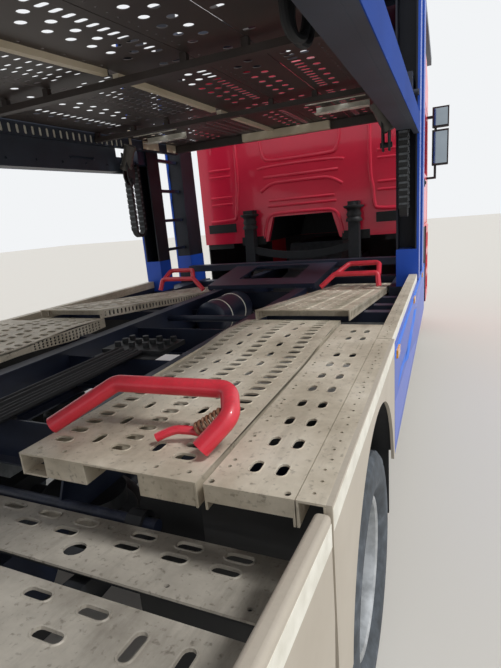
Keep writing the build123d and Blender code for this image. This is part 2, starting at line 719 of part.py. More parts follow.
# Beige side panels round the rear wheels
rear_arch_r = 485
rear_arch_centre = (rear_axle_y + 20, 560)
with BuildPart() as arch_panels:
    with BuildSketch(Plane.YZ.offset(panel_in_x)) as panel:
        with BuildLine():
            Polyline((1110, 620), (1110, deck_z), (deck_rear_y, deck_z), (deck_rear_y, 620),
                     close=True)
        make_face()
        with Locations(rear_arch_centre):
            Circle(rear_arch_r, mode=Mode.SUBTRACT)
    extrude(panel.sketch, amount=half_width - panel_in_x)
    mirror(about=Plane.YZ)
arch_panels.part.label = "arch_panels"
export_step(arch_panels.part, "parts/arch_panels.step")

# Wheel liners over the twin wheels, and mudflaps
with BuildPart() as wheel_liners:
    liner_r = 500
    with BuildSketch(Plane.YZ.offset(620)) as liner:
        with Locations((rear_axle_y, 540)):
            Circle(liner_r)
            Circle(liner_r - 8, mode=Mode.SUBTRACT)
        with Locations((rear_axle_y, 200)):
            Rectangle(1200, 900, mode=Mode.SUBTRACT)
    extrude(liner.sketch, amount=640)
    for y in (rear_axle_y - 498, rear_axle_y + 488):
        span((660, 1250), (y, y + 10), (330, 662))
    span((660, 1250), (rear_axle_y - 490, rear_axle_y - 478), (650, 662))
    span((660, 1250), (rear_axle_y + 478, rear_axle_y + 490), (650, 662))
    span((905, 1240), (rear_axle_y + 488, rear_axle_y + 498), (662, 1075))
    mirror(about=Plane.YZ)
wheel_liners.part.label = "wheel_liners"
export_step(wheel_liners.part, "parts/wheel_liners.step")


# Lower deck: folded plates over the outriggers. The runway dips and humps over the
# axle, and a ramp plate leads down from it to the front.
def channel(x, y, top, height):
    span(x, y, (top - plate_wall, top))
    span((x[0], x[0] + plate_wall), y, (top - height, top - plate_wall))
    span((x[1] - plate_wall, x[1]), y, (top - height, top - plate_wall))


def folded_plate(x, top_line, low_line):
    # A channel whose top follows a line of (y, z) points, open below
    side_shape((*top_line, *reversed(low_line)), x)
    inner_top = [(y, z - plate_wall) for y, z in top_line]
    inner_top[0] = (inner_top[0][0] + 1, inner_top[0][1])
    inner_top[-1] = (inner_top[-1][0] - 1, inner_top[-1][1])
    inner_low = [(inner_top[0][0], low_line[0][1] - 1), (inner_top[-1][0], low_line[-1][1] - 1)]
    side_shape((*inner_top, *reversed(inner_low)), (x[0] + plate_wall, x[1] - plate_wall),
               Mode.SUBTRACT)


def ramp_top(y):
    return ramp_rear[1] - ramp_slope * (ramp_rear[0] - y)


with BuildPart() as lower_deck:
    low_z = deck_z - channel_h
    folded_plate((runway_in_x, runway_out_x), arch_profile,
                 ((arch_profile[0][0], low_z), (arch_profile[-1][0], low_z)))
    channel((outer_plate_in_x, outer_plate_out_x), (outer_plate_front_y, deck_rear_y), deck_z,
            channel_h)
    channel((outer_plate_out_x + 2, panel_in_x), (edge_plate_front_y, deck_rear_y), deck_z,
            channel_h)
    for rear_y, front_y_end in ((ramp_rear[0], ramp_joint_y[0]), (ramp_joint_y[1], ramp_front_y)):
        line = ((rear_y, ramp_top(rear_y)), (front_y_end, ramp_top(front_y_end)))
        folded_plate((ramp_in_x, ramp_out_x), line, [(y, z - ramp_h) for y, z in line])
    mirror(about=Plane.YZ)
lower_deck.part.label = "lower_deck"
export_step(lower_deck.part, "parts/lower_deck.step")

# Cross frame: a plate with a large opening that climbs to the bar between the tall posts
frame_pitch = math.radians(6.6)
frame_plane = Plane(origin=(0, -600, 1117), x_dir=(1, 0, 0),
                    z_dir=(0, math.sin(frame_pitch), math.cos(frame_pitch)))
with BuildPart() as cross_frame:
    with BuildSketch(frame_plane.offset(-14)) as plate:
        with BuildLine():
            Polyline((-492, 0), (492, 0), (523, -760), (-523, -760), close=True)
        make_face()
        with Locations((0, -450)):
            RectangleRounded(550, 488, 30, mode=Mode.SUBTRACT)
    extrude(plate.sketch, amount=14)
    span((-492, 492), (-12, 0), (-35, -14), plane=frame_plane)
    span((-post_in_x, post_in_x), (-1460, -1350), (1160, 1224))
    for sign in (-1, 1):
        edge = tuple(sorted((sign * 462, sign * 492)))
        span(edge, (-750, -12), (-50, -14), plane=frame_plane)
        foot = tuple(sorted((sign * 372, sign * rail_out_x)))
        span(foot, (-1340, -1280), (rail_top, 1190))
        span(foot, (-640, -604), (rail_top, 1112))
cross_frame.part.label = "cross_frame"
export_step(cross_frame.part, "parts/cross_frame.step")

# Lift posts: the rear pair guides the upper deck, the tall pair carries the head deck
head_z = 3400
head_pin = (tall_post_y[0] + 130, head_z + 60)
rung_z = (1430, 1720, 2010, 2300, 2590)
post_top = 3300
tall_post_top = 3760
base_z = 1040
with BuildPart() as lift_posts:
    span((post_in_x, post_out_x), (post_front_y, post_rear_y), (base_z, post_top))
    span((post_in_x + 12, post_out_x - 12), (post_front_y + 12, post_rear_y + 1),
         (base_z + 20, post_top - 12), Mode.SUBTRACT)
    side_shape(((tall_post_y[0], base_z), (tall_post_y[1], base_z),
                (tall_post_y[1] - 40, tall_post_top), (tall_post_y[0] + 60, tall_post_top)),
               (post_in_x, post_out_x))
    with Locations((1080, head_pin[0], head_pin[1])):
        Cylinder(20, 74, rotation=(0, 90, 0))
    mirror(about=Plane.YZ)
lift_posts.part.label = "lift_posts"
export_step(lift_posts.part, "parts/lift_posts.step")

# Base bars that carry the posts off the rails, and the rungs between the posts
with BuildPart() as post_ties:
    span((1050, panel_in_x), (tall_post_y[0], post_rear_y), (950, base_z))
    span((rail_out_x, 1050), (-1620, -1480), (960, 1035))
    span((rail_out_x, 1107), (-960, -850), (885, 950))
    for z in rung_z:
        with Locations((1180, (post_front_y + tall_post_y[1]) / 2, z)):
            lean = 40 * (z - base_z) / (tall_post_top - base_z)
            with Locations((0, -lean / 2, 0)):
                Box(40, post_front_y - tall_post_y[1] + lean - 1.5, 28)
    mirror(about=Plane.YZ)
post_ties.part.label = "post_ties"
export_step(post_ties.part, "parts/post_ties.step")

# Blue side panels along the frame, and the blue outer faces of the posts
with BuildPart() as front_side_panels:
    side_shape(((-1990, 620), (1104, 620), (1104, 1088), (-1990, 1088)),
               (panel_in_x, half_width))
    span((post_out_x, half_width), (post_front_y, post_rear_y), (1095, post_top))
    span((post_out_x, half_width), (tall_post_y[0] + 20, tall_post_y[1]), (1095, 3300))
    mirror(about=Plane.YZ)
front_side_panels.part.label = "front_side_panels"
export_step(front_side_panels.part, "parts/front_side_panels.step")

# Rear posts: hollow tubes at the tail in which the deck's rods slide
rear_post_x = (1130, panel_in_x)
rear_post_top = 1950
with BuildPart() as rear_posts:
    span(rear_post_x, rear_post_y, (tail_rail_low, rear_post_top))
    span((rear_post_x[0] + 10, rear_post_x[1] - 10), (rear_post_y[0] + 10, rear_post_y[1] - 10),
         (tail_rail_low + 10, rear_post_top + 1), Mode.SUBTRACT)
    mirror(about=Plane.YZ)
rear_posts.part.label = "rear_posts"
export_step(rear_posts.part, "parts/rear_posts.step")

rod_x = sum(rear_post_x) / 2
rod_y = sum(rear_post_y) / 2
rod_top = 2018
with BuildPart() as rear_lift_rods:
    with Locations((rod_x, rod_y, (tail_rail_low + 20 + rod_top) / 2)):
        Box(70, 70, rod_top - tail_rail_low - 20)
    mirror(about=Plane.YZ)
rear_lift_rods.part.label = "rear_lift_rods"
export_step(rear_lift_rods.part, "parts/rear_lift_rods.step")

# Lift carriages behind the posts, each with a pin for the upper deck
carriage_x = (1126, 1228)
with BuildPart() as lift_carriages:
    span(carriage_x, (post_front_y + 20, post_rear_y + 110), (2230, 2560))
    with Locations(((deck_half_in - 45 + 1270) / 2, pin_y, pin_z)):
        Cylinder(22, 1270 - deck_half_in + 45, rotation=(0, 90, 0))
    span((1150, 1205), (post_rear_y + 110, -570), (2230, 2250))
    mirror(about=Plane.YZ)
lift_carriages.part.label = "lift_carriages"
export_step(lift_carriages.part, "parts/lift_carriages.step")

# Upper deck: inner beams and side boxes, one solid on each side, with the blue rail outside
deck_front_u = -400
deck_rear_u = 5200
rail_front_u = 130
box_front_u = 480
rail_in_x = 1235
web_x = (1147, 1155)
deck_cross_u = (-380, 815, 1922, 3030, 4140, 5160)
with BuildPart() as upper_deck_frame:
    rear_fall = deck_plate_w - plate_w(deck_rear_u)
    beam_line = (
        (deck_front_u, 180), (deck_bend_u, 180), (deck_rear_u, 180 - rear_fall),
        (deck_rear_u, 340 - rear_fall), (deck_bend_u, 340), (deck_front_u, 340),
    )
    side_shape([deck_point(u, w) for u, w in beam_line], (deck_half_in - 45, deck_half_in))
    top_line = [(box_front_u, deck_plate_w), (deck_bend_u, deck_plate_w),
                (deck_rear_u, plate_w(deck_rear_u))]
    web_line = [(box_front_u, 0), *top_line, (deck_rear_u, 0)]
    side_shape([deck_point(u, w) for u, w in web_line], web_x)
    cover_line = [*top_line, *reversed([(u, w + 6) for u, w in top_line])]
    side_shape([deck_point(u, w) for u, w in cover_line], (deck_half_in, web_x[1]))
    span((web_x[1], rail_in_x), (box_front_u, deck_rear_u), (0, 8), plane=deck_plane)
    span((rail_in_x, half_width), (rail_front_u, deck_rear_u), (0, 140), plane=deck_plane)
    for u in (1000, 2100, 3200, 4300):
        span((web_x[1], rail_in_x), (u - 5, u + 5), (8, 90), plane=deck_plane)
    mirror(about=Plane.YZ)
    for sign in (-1, 1):
        with Locations((sign * 1150, pin_y, pin_z)):
            Cylinder(28, 400, rotation=(0, 90, 0), mode=Mode.SUBTRACT)
upper_deck_frame.part.label = "upper_deck_frame"
export_step(upper_deck_frame.part, "parts/upper_deck_frame.step")

with BuildPart() as upper_deck_crossings:
    for u in deck_cross_u:
        top = plate_w(u + 30)
        span((45 - deck_half_in, deck_half_in - 45), (u - 30, u + 30), (top - 70, top),
             plane=deck_plane)
upper_deck_crossings.part.label = "upper_deck_crossings"
export_step(upper_deck_crossings.part, "parts/upper_deck_crossings.step")

plate_rows = (
    # inner x, outer x
    (18, 400),
    (405, 690),
    (695, deck_half_in - 45),
)
with BuildPart() as upper_deck_plates:
    plate_u = (deck_front_u, deck_bend_u, deck_rear_u)
    low_line, high_line, lip_line = ([deck_point(u, plate_w(u) + rise) for u in plate_u]
                                     for rise in (0, 6, 36))
    for low, high in plate_rows:
        side_shape((*low_line, *reversed(high_line)), (low, high))
        side_shape((*low_line, *reversed(lip_line)), (low, low + 6))
    mirror(about=Plane.YZ)
upper_deck_plates.part.label = "upper_deck_plates"
export_step(upper_deck_plates.part, "parts/upper_deck_plates.step")

# Head deck over the cab, hinged between the tall posts
with BuildPart() as head_deck:
    for sign in (-1, 1):
        x = tuple(sorted((sign * 1040, sign * deck_half_in)))
        span(x, (front_y + 10, -1450), (head_z, head_z + 120))
        wide = tuple(sorted((sign * deck_half_in, sign * 1250)))
        span(wide, (front_y + 10, -1790), (head_z + 70, head_z + 90))
        edge = tuple(sorted((sign * 1215, sign * 1250)))
        span(edge, (front_y + 10, -1790), (head_z + 90, head_z + 160))
        plate = tuple(sorted((sign * 240, sign * 1040)))
        span(plate, (front_y + 10, -1450), (head_z + 70, head_z + 78))
    for y in (-4260, -3500, -2700, -1900, -1480):
        span((-1040, 1040), (y - 30, y + 30), (head_z + 10, head_z + 70))
    for sign in (-1, 1):
        with Locations((sign * 1070, head_pin[0], head_pin[1])):
            Cylinder(26, 120, rotation=(0, 90, 0), mode=Mode.SUBTRACT)
head_deck.part.label = "head_deck"
export_step(head_deck.part, "parts/head_deck.step")

# Tail deck: a frame of beams, walls with a rounded top along the sides, and cross plates
plate_pitch = 248
plate_width = 199
first_plate_u = 43
with BuildPart() as tail_deck_frame:
    for x in ((1160, 1200), (675, 725)):
        span(x, (90, tail_len), (-58, -18), plane=tail_plane)
    with BuildSketch(Plane(origin=tail_plane.origin + Vector(675, 0, 0), x_dir=tail_plane.y_dir,
                           z_dir=(1, 0, 0))) as hinge_arm:
        with BuildLine():
            Polyline((0, 38), (20, 32), (38, 8), (140, 8), (140, -58), (60, -58), (0, -38))
            ThreePointArc((0, -38), (-38, 0), (0, 38))
        make_face()
        Circle(24, mode=Mode.SUBTRACT)
    extrude(hinge_arm.sketch, amount=50)
    mirror(about=Plane.YZ)
    for u in (190, 1130, 1900):
        span((-tail_wall_x[0], tail_wall_x[0]), (u - 25, u + 25), (-18, tail_plate_w[0]),
             plane=tail_plane)
tail_deck_frame.part.label = "tail_deck_frame"
export_step(tail_deck_frame.part, "parts/tail_deck_frame.step")

with BuildPart() as tail_side_walls:
    wall_line = ((185, 229), (153.4, 0), (153.4, -250), (tail_len, -250), (tail_len, 229))
    side_shape([tail_point(u, w) for u, w in wall_line], tail_wall_x)
    top_edges = tail_side_walls.edges().filter_by(
        lambda edge: abs(tail_plane.to_local_coords(edge.center()).Z - 229) < 1
        and edge.length > 500)
    fillet(top_edges, 11)
    mirror(about=Plane.YZ)
tail_side_walls.part.label = "tail_side_walls"
export_step(tail_side_walls.part, "parts/tail_side_walls.step")

with BuildPart() as tail_deck_plates:
    for row in range(8):
        start = first_plate_u + row * plate_pitch
        end = start + plate_width
        span((-1150, 1150), (start, end), tail_plate_w, plane=tail_plane)
        lip_x = 660 if row == 0 else 1150
        lip_w = (tail_plate_w[0] - 22, tail_plate_w[0])
        span((-lip_x, lip_x), (start, start + 5), lip_w, plane=tail_plane)
        span((-1150, 1150), (end - 5, end), lip_w, plane=tail_plane)
tail_deck_plates.part.label = "tail_deck_plates"
export_step(tail_deck_plates.part, "parts/tail_deck_plates.step")

# Rear end: underrun bar, lamps and the drawbar jaw
with BuildPart() as underrun_bar:
    with BuildSketch(Plane.YZ.offset(-1180)) as bar:
        with Locations((4210, 480)):
            RectangleRounded(100, 110, 18)
    extrude(bar.sketch, amount=2360)
    for sign in (-1, 1):
        x = tuple(sorted((sign * 380, sign * 430)))
        span(x, (4190, 4240), (535, tail_rail_low))
underrun_bar.part.label = "underrun_bar"
export_step(underrun_bar.part, "parts/underrun_bar.step")

with BuildPart() as rear_lamps:
    for sign in (-1, 1):
        x = tuple(sorted((sign * 640, sign * 1080)))
        span(x, (4280, tail_y), (680, 810))
rear_lamps.part.label = "rear_lamps"
export_step(rear_lamps.part, "parts/rear_lamps.step")

coupling_bore_r = 26
with BuildPart() as tow_coupling:
    for z in ((665, 700), (790, 825)):
        top_shape(((-130, 4100), (130, 4100), (70, 4010), (-70, 4010)), z)
    span((-150, 150), (4100, 4180), (650, 840))
    with Locations((0, 4055, 745)):
        Cylinder(coupling_bore_r, 260, mode=Mode.SUBTRACT)
tow_coupling.part.label = "tow_coupling"
export_step(tow_coupling.part, "parts/tow_coupling.step")

# Red tubular wheel chocks: hoops that stand on the runways, the front ones with two bars
chock_tube = 23
with BuildPart() as wheel_chocks:
    foot_z = deck_z + chock_tube
    tube_along(
        ((-490, 2142, foot_z), (-640, 2038, foot_z + 92), (-975, 2026, foot_z + 94),
         (-1010, 2100, foot_z + 60), (-955, 2160, foot_z)),
        40, chock_tube)
    for sign in (-1, 1):
        far_z = ramp_top(-600) + chock_tube
        tube_along(
            ((sign * 541, -600, far_z), (sign * 650, -636, far_z + 96),
             (sign * 985, -640, far_z + 98), (sign * 998, -600, far_z)),
            30, chock_tube - 3)
        tube_along(
            ((sign * 655, -636, far_z + 92), (sign * 740, -790, far_z + 158),
             (sign * 980, -795, far_z + 160), (sign * 990, -650, far_z + 80)),
            38, chock_tube - 3)
wheel_chocks.part.label = "wheel_chocks"
export_step(wheel_chocks.part, "parts/wheel_chocks.step")

# Side marker lamps
with BuildPart() as marker_lamps:
    for y in (-1400, -200, 990):
        span((half_width, half_width + 9), (y - 50, y + 50), (1035, 1070))
    mirror(about=Plane.YZ)
marker_lamps.part.label = "marker_lamps"
export_step(marker_lamps.part, "parts/marker_lamps.step")

# Cable carriers that loop from the deck to the posts
with BuildPart() as drag_chains:
    with BuildSketch(Plane.YZ.offset(1150)) as loop:
        with BuildLine():
            Polyline((-700, 2230), (-700, 1660))
            ThreePointArc((-700, 1660), (-650, 1610), (-600, 1660))
            Polyline((-600, 1660), (-600, 2230), (-575, 2230), (-575, 1660))
            ThreePointArc((-575, 1660), (-650, 1585), (-725, 1660))
            Polyline((-725, 1660), (-725, 2230), (-700, 2230))
        make_face()
    extrude(loop.sketch, amount=55)
    for y in (-712.5, -587.5):
        for link in range(12):
            with Locations((1177.5, y, 1670 + 48 * link)):
                Box(63, 33, 36)
    mirror(about=Plane.YZ)
drag_chains.part.label = "drag_chains"
export_step(drag_chains.part, "parts/drag_chains.step")
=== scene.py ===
import json
import math

import bmesh
import bpy
from mathutils import Matrix, Vector


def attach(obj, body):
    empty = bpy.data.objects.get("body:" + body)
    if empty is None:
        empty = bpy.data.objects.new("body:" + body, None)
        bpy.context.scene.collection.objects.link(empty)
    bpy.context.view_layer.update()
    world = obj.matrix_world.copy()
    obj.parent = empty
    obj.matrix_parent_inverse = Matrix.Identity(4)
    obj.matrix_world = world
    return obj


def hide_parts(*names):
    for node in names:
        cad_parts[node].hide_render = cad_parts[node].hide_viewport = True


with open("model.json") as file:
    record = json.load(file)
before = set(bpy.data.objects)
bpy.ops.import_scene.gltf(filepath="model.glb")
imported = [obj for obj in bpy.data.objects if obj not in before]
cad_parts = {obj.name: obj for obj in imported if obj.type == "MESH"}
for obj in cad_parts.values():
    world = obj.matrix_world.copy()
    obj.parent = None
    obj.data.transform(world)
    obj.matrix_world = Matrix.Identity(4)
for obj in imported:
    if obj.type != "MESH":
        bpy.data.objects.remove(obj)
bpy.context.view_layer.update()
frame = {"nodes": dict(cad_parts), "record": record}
sides = (("Left", 1), ("Right", -1))
print("frame loaded:", len(frame["nodes"]), "nodes")


def hexLinear(code):
    parts = [int(code[i:i + 2], 16) / 255 for i in (1, 3, 5)]
    return (*(p / 12.92 if p <= 0.04045 else ((p + 0.055) / 1.055) ** 2.4 for p in parts), 1.0)


def addNode(tree, kind, settings=None, links=None):
    # A link's source is a socket, or a node for its first output, or a tuple where many may join
    node = tree.nodes.new(kind)
    for key, value in (settings or {}).items():
        if key == "stops":
            ramp = node.color_ramp
            while len(ramp.elements) < len(value):
                ramp.elements.new(0.5)
            for element, (place, code) in zip(ramp.elements, value):
                element.position = place
                element.color = hexLinear(code)
        elif isinstance(key, int) or key in node.inputs:
            node.inputs[key].default_value = value
        else:
            setattr(node, key, value)
    for key, sources in (links or {}).items():
        for source in sources if isinstance(sources, tuple) else (sources,):
            socket = source.outputs[0] if isinstance(source, bpy.types.Node) else source
            tree.links.new(socket, node.inputs[key])
    return node


def startMaterial(name):
    material = bpy.data.materials.new(name)
    material.use_nodes = True
    tree = material.node_tree
    tree.nodes.clear()
    return material, tree, addNode(tree, "ShaderNodeTexCoord").outputs["Object"]


def closeMaterial(tree, values, links=None):
    shader = addNode(tree, "ShaderNodeBsdfPrincipled", values, links)
    addNode(tree, "ShaderNodeOutputMaterial", links={"Surface": shader})


def plainFinish(name, stops, grainMm, rough, metallic=0.0, coat=0.0, clear=0.0, ior=1.5,
                stretch=(1.0, 1.0, 1.0), relief=0.2, reliefMm=2.0):
    # One noise gives two tones, a change of gloss and fine relief, as in an even finish
    material, tree, where = startMaterial(name)
    stretched = addNode(tree, "ShaderNodeMapping", {"Scale": stretch}, {"Vector": where})
    grain = addNode(tree, "ShaderNodeTexNoise", {
        "Scale": 1000 / grainMm, "Detail": 6.0, "Roughness": 0.6}, {"Vector": stretched})
    tone = addNode(tree, "ShaderNodeValToRGB", {"stops": stops}, {"Fac": grain})
    gloss = addNode(tree, "ShaderNodeMapRange", {
        "From Min": 0.3, "From Max": 0.7, "To Min": rough[0], "To Max": rough[1]}, {"Value": grain})
    fine = addNode(tree, "ShaderNodeTexNoise", {"Scale": 1000 / reliefMm, "Detail": 3.0},
                   {"Vector": stretched})
    bump = addNode(tree, "ShaderNodeBump", {"Strength": relief, "Distance": 0.0005},
                   {"Height": fine})
    closeMaterial(tree, {"Metallic": metallic, "Coat Weight": coat, "Transmission Weight": clear,
                         "IOR": ior}, {"Base Color": tone, "Roughness": gloss, "Normal": bump})
    return material


def oilPaint(name, colour, dark, rough, coat=0.0, ior=1.5, patchMm=400, gritMm=9, bump=0.12,
             dust=0.4, film=0.04, dustColour="#A89E90"):
    # Sprayed paint on steel: the eye sees its sheen, dust that lies on what faces up, and chips
    material, tree, where = startMaterial(name)
    patches = addNode(tree, "ShaderNodeTexNoise", {
        "Scale": 1000 / patchMm, "Detail": 6.0, "Roughness": 0.6}, {"Vector": where})
    tone = addNode(tree, "ShaderNodeValToRGB", {"stops": ((0.3, dark), (0.7, colour))},
                   {"Fac": patches})
    grit = addNode(tree, "ShaderNodeTexNoise", {"Scale": 1000 / gritMm, "Detail": 4.0},
                   {"Vector": where})
    upward = addNode(tree, "ShaderNodeSeparateXYZ", links={
        "Vector": addNode(tree, "ShaderNodeNewGeometry").outputs["Normal"]})
    lying = addNode(tree, "ShaderNodeMapRange", {"From Min": 0.2, "From Max": 1.0},
                    {"Value": upward.outputs["Z"]})
    speckle = addNode(tree, "ShaderNodeMapRange", {"From Min": 0.42, "From Max": 0.68},
                      {"Value": grit})
    cloud = addNode(tree, "ShaderNodeMath", {"operation": "MULTIPLY_ADD", 1: 0.6, 2: 0.4},
                    {0: speckle})
    both = addNode(tree, "ShaderNodeMath", {"operation": "MULTIPLY"}, {0: lying, 1: cloud})
    amount = addNode(tree, "ShaderNodeMath", {"operation": "MULTIPLY_ADD", 1: dust, 2: film},
                     {0: both})
    dusty = addNode(tree, "ShaderNodeMix", {"data_type": "RGBA", 7: hexLinear(dustColour)},
                    {0: amount, 6: tone})
    gloss = addNode(tree, "ShaderNodeMapRange", {"To Min": rough, "To Max": 0.8},
                    {"Value": amount})
    chips = addNode(tree, "ShaderNodeBump", {"Strength": bump, "Distance": 0.0006},
                    {"Height": grit})
    closeMaterial(tree, {"Coat Weight": coat, "Coat Roughness": 0.06, "IOR": ior},
                  {"Base Color": dusty.outputs[2], "Roughness": gloss, "Normal": chips})
    return material


# Coarseness of each noise in zinc: a spot of dirt comes out about half as wide as its own
zincSizes = {"bloomMm": 260, "rubMm": 90, "dirtMm": 14, "spangleMm": 18}


def weatheredZinc(name, stops, rub, rubColour, spots):
    # Hot-dip galvanised sheet gone dull: pale zinc bloom, brown road film and dark wheel rub
    material, tree, where = startMaterial(name)
    bloom = addNode(tree, "ShaderNodeTexNoise", {
        "Scale": 1000 / zincSizes["bloomMm"], "Detail": 8.0, "Roughness": 0.65}, {"Vector": where})
    tone = addNode(tree, "ShaderNodeValToRGB", {"stops": stops}, {"Fac": bloom})
    # wheel rub runs along the truck, so the noise is drawn out six times along y
    along = addNode(tree, "ShaderNodeMapping", {"Scale": (1.0, 0.16, 1.0)}, {"Vector": where})
    streaks = addNode(tree, "ShaderNodeTexNoise", {
        "Scale": 1000 / zincSizes["rubMm"], "Detail": 7.0, "Roughness": 0.7}, {"Vector": along})
    rubbed = addNode(tree, "ShaderNodeMapRange", {
        "From Min": 0.5, "From Max": 0.78, "To Max": rub}, {"Value": streaks})
    worn = addNode(tree, "ShaderNodeMix", {"data_type": "RGBA", 7: hexLinear(rubColour)},
                   {0: rubbed, 6: tone})
    dirt = addNode(tree, "ShaderNodeTexNoise", {
        "Scale": 1000 / zincSizes["dirtMm"], "Detail": 3.0}, {"Vector": where})
    spotted = addNode(tree, "ShaderNodeMapRange", {
        "From Min": 0.6, "From Max": 0.74, "To Max": spots}, {"Value": dirt})
    dirty = addNode(tree, "ShaderNodeMix", {"data_type": "RGBA", 7: hexLinear("#5E5548")},
                    {0: spotted, 6: worn.outputs[2]})
    # real zinc spangle is 5 to 10 mm across, drawn coarser so that it shows
    spangle = addNode(tree, "ShaderNodeTexVoronoi", {"Scale": 1000 / zincSizes["spangleMm"]},
                      {"Vector": where})
    sheen = addNode(tree, "ShaderNodeMapRange", {"To Min": 0.46, "To Max": 0.68},
                    {"Value": spangle})
    bump = addNode(tree, "ShaderNodeBump", {"Strength": 0.25, "Distance": 0.0008},
                   {"Height": dirt})
    closeMaterial(tree, {"Metallic": 0.15},
                  {"Base Color": dirty.outputs[2], "Roughness": sheen, "Normal": bump})
    return material


# Zinc: pale and worn bright by tyres on the runways, greyer and more rubbed on the tail
runwayZinc = weatheredZinc(
    "weatheredZincRunway", rub=0.55, rubColour="#8B8171", spots=0.55,
    stops=((0.25, "#968C7A"), (0.45, "#BDB29E"), (0.6, "#D3C9B6"), (0.78, "#E2DACA")))
tailZinc = weatheredZinc(
    "weatheredZincTail", rub=0.7, rubColour="#6F685E", spots=0.6,
    stops=((0.25, "#8A8377"), (0.45, "#B0A99D"), (0.62, "#C6BFB2"), (0.8, "#D4CDC0")))
# Chassis paints are satin and dusty, the cab's and the body's are glossy and clean
frameEnamel = oilPaint("frameEnamel", "#1D2841", "#131B2E", 0.46, coat=0.04, dust=0.14, film=0.01,
                       dustColour="#8E8F96")
postEnamel = oilPaint("postEnamel", "#1B2130", "#12161F", 0.5, ior=1.35, dust=0.2, film=0.02)
# Dark deck paint: the crossings' own paint, and on the galvanised upper deck plates painted shade
# of the deck's underside
deckPaintAndShade = oilPaint("deckPaintAndShade", "#33292A", "#211C1F", 0.5, dust=0.35, film=0.06)
# the beam paint also colours the rail's body, where its darkness is painted shade of the rail's
# underside
beamPaintAndRailShade = oilPaint("beamPaintAndRailShade", "#3A4351", "#2A313D", 0.46, ior=1.35, film=0.02)
cabLacquer = oilPaint("cabLacquer", "#F02148", "#DE183E", 0.3, coat=0.3, patchMm=900, gritMm=30,
                      bump=0.02, dust=0.06, film=-0.02)
bodyLacquer = oilPaint("bodyLacquer", "#2358C8", "#1B4CB4", 0.34, coat=0.12, ior=1.3, patchMm=900,
                       gritMm=30, bump=0.02, dust=0.15, film=0.02)
railLacquer = oilPaint("railLacquer", "#1B459C", "#143A88", 0.6, ior=1.12, patchMm=700, dust=0.1,
                       film=0.01)
panelLacquer = oilPaint("panelLacquer", "#C6BDAE", "#B4AA9A", 0.42, patchMm=500, bump=0.04,
                        dust=0.3, film=0.08)
creamStrip = oilPaint("creamStrip", "#D9CDB6", "#C6B99F", 0.5, bump=0.04, dust=0.2)
# Powder coat: thick, soft gloss, rubbed dirt that is redder than dust
chockEnamel = oilPaint("chockPowderCoat", "#F03549", "#D22438", 0.36, coat=0.3, patchMm=120,
                       dust=0.3, dustColour="#6E4A44")
# Films and tape: even colour, half gloss
azureFilm = plainFinish("azureStripeFilm", ((0.3, "#0F6FE6"), (0.7, "#1B7DF0")), 300,
                        (0.34, 0.5), ior=1.2)
lilacFilm = plainFinish("periwinkleStripeFilm", ((0.3, "#6475C4"), (0.7, "#7484CE")), 300,
                        (0.34, 0.5), ior=1.3)
whiteTape = plainFinish("reflectiveTape", ((0.3, "#DAD6C6"), (0.6, "#F0EDE0")), 60, (0.3, 0.5),
                        relief=0.1)
# Castings: rough skin with dull grain
# black cast iron also paints the tail deck's galvanised frame, as painted shade
castIronAndShade = plainFinish("blackCastIronAndShade", ((0.3, "#15171B"), (0.7, "#2B2D31")), 40, (0.5, 0.75),
                       relief=0.6, reliefMm=4)
engineCast = plainFinish("greyCasting", ((0.3, "#3A3D40"), (0.7, "#55585B")), 50, (0.5, 0.7),
                         relief=0.6, reliefMm=4)
# Plastics and rubber: moulded grain, and grey dust on the tyres
blackMoulding = plainFinish("grainedMoulding", ((0.35, "#121315"), (0.7, "#212224")), 70,
                            (0.5, 0.68), relief=0.35, reliefMm=1.4)
carrierPlastic = plainFinish("wornCarrierPlastic", ((0.3, "#3E4246"), (0.7, "#5C6064")), 25,
                             (0.4, 0.6))
hoseRubber = plainFinish("hoseRubber", ((0.35, "#0F1012"), (0.7, "#2A2B2D")), 35, (0.45, 0.7))
dustyTyre = plainFinish("dustyTyreRubber", ((0.3, "#33373B"), (0.55, "#4C5258"), (0.75, "#6B7178")),
                        55, (0.7, 0.9), relief=0.4, reliefMm=3)
# Metals: silver wheel paint, ground rods drawn along their length, rust with bare spots, mill alloy
wheelSilver = plainFinish("silverWheelPaint", ((0.3, "#9EA1A3"), (0.6, "#C6C9CB")), 60,
                          (0.3, 0.5), metallic=0.6, relief=0.1)
brightSteel = plainFinish("groundSteel", ((0.3, "#A9ABAD"), (0.7, "#CDD0D2")), 20, (0.18, 0.32),
                          metallic=1.0, stretch=(1.0, 1.0, 0.1), relief=0.1)
rustySteel = plainFinish("rustySteel", ((0.3, "#4A2E22"), (0.5, "#7E5238"), (0.72, "#A58A72")), 12,
                         (0.6, 0.85), relief=0.7)
tankAlloy = plainFinish("millAlloy", ((0.3, "#8F9295"), (0.7, "#B4B7BA")), 90, (0.3, 0.48),
                        metallic=0.9)
cylinderGrey = plainFinish("greyCylinderPaint", ((0.3, "#4E4B48"), (0.7, "#6A6661")), 60,
                           (0.4, 0.55))
# Glass and lenses: clear and smooth, the lenses with moulded facets
tintedGlass = plainFinish("tintedGlass", ((0.3, "#9FB4B2"), (0.7, "#A9BCBA")), 400, (0.01, 0.04),
                          clear=0.9, relief=0.0)
mirrorGlass = plainFinish("mirrorGlass", ((0.3, "#8B949B"), (0.7, "#98A1A8")), 300, (0.02, 0.05),
                          metallic=1.0, relief=0.0)
clearLens = plainFinish("clearLens", ((0.3, "#D6DADC"), (0.7, "#E6E9EA")), 8, (0.05, 0.14),
                        clear=0.6, relief=0.5, reliefMm=8)
redLens = plainFinish("redLens", ((0.3, "#96060D"), (0.7, "#B80A12")), 9, (0.08, 0.2), coat=0.6,
                      relief=0.6, reliefMm=9)
amberLens = plainFinish("amberLens", ((0.3, "#E88A0C"), (0.7, "#FFB628")), 9, (0.08, 0.2),
                        coat=0.6, relief=0.6, reliefMm=9)
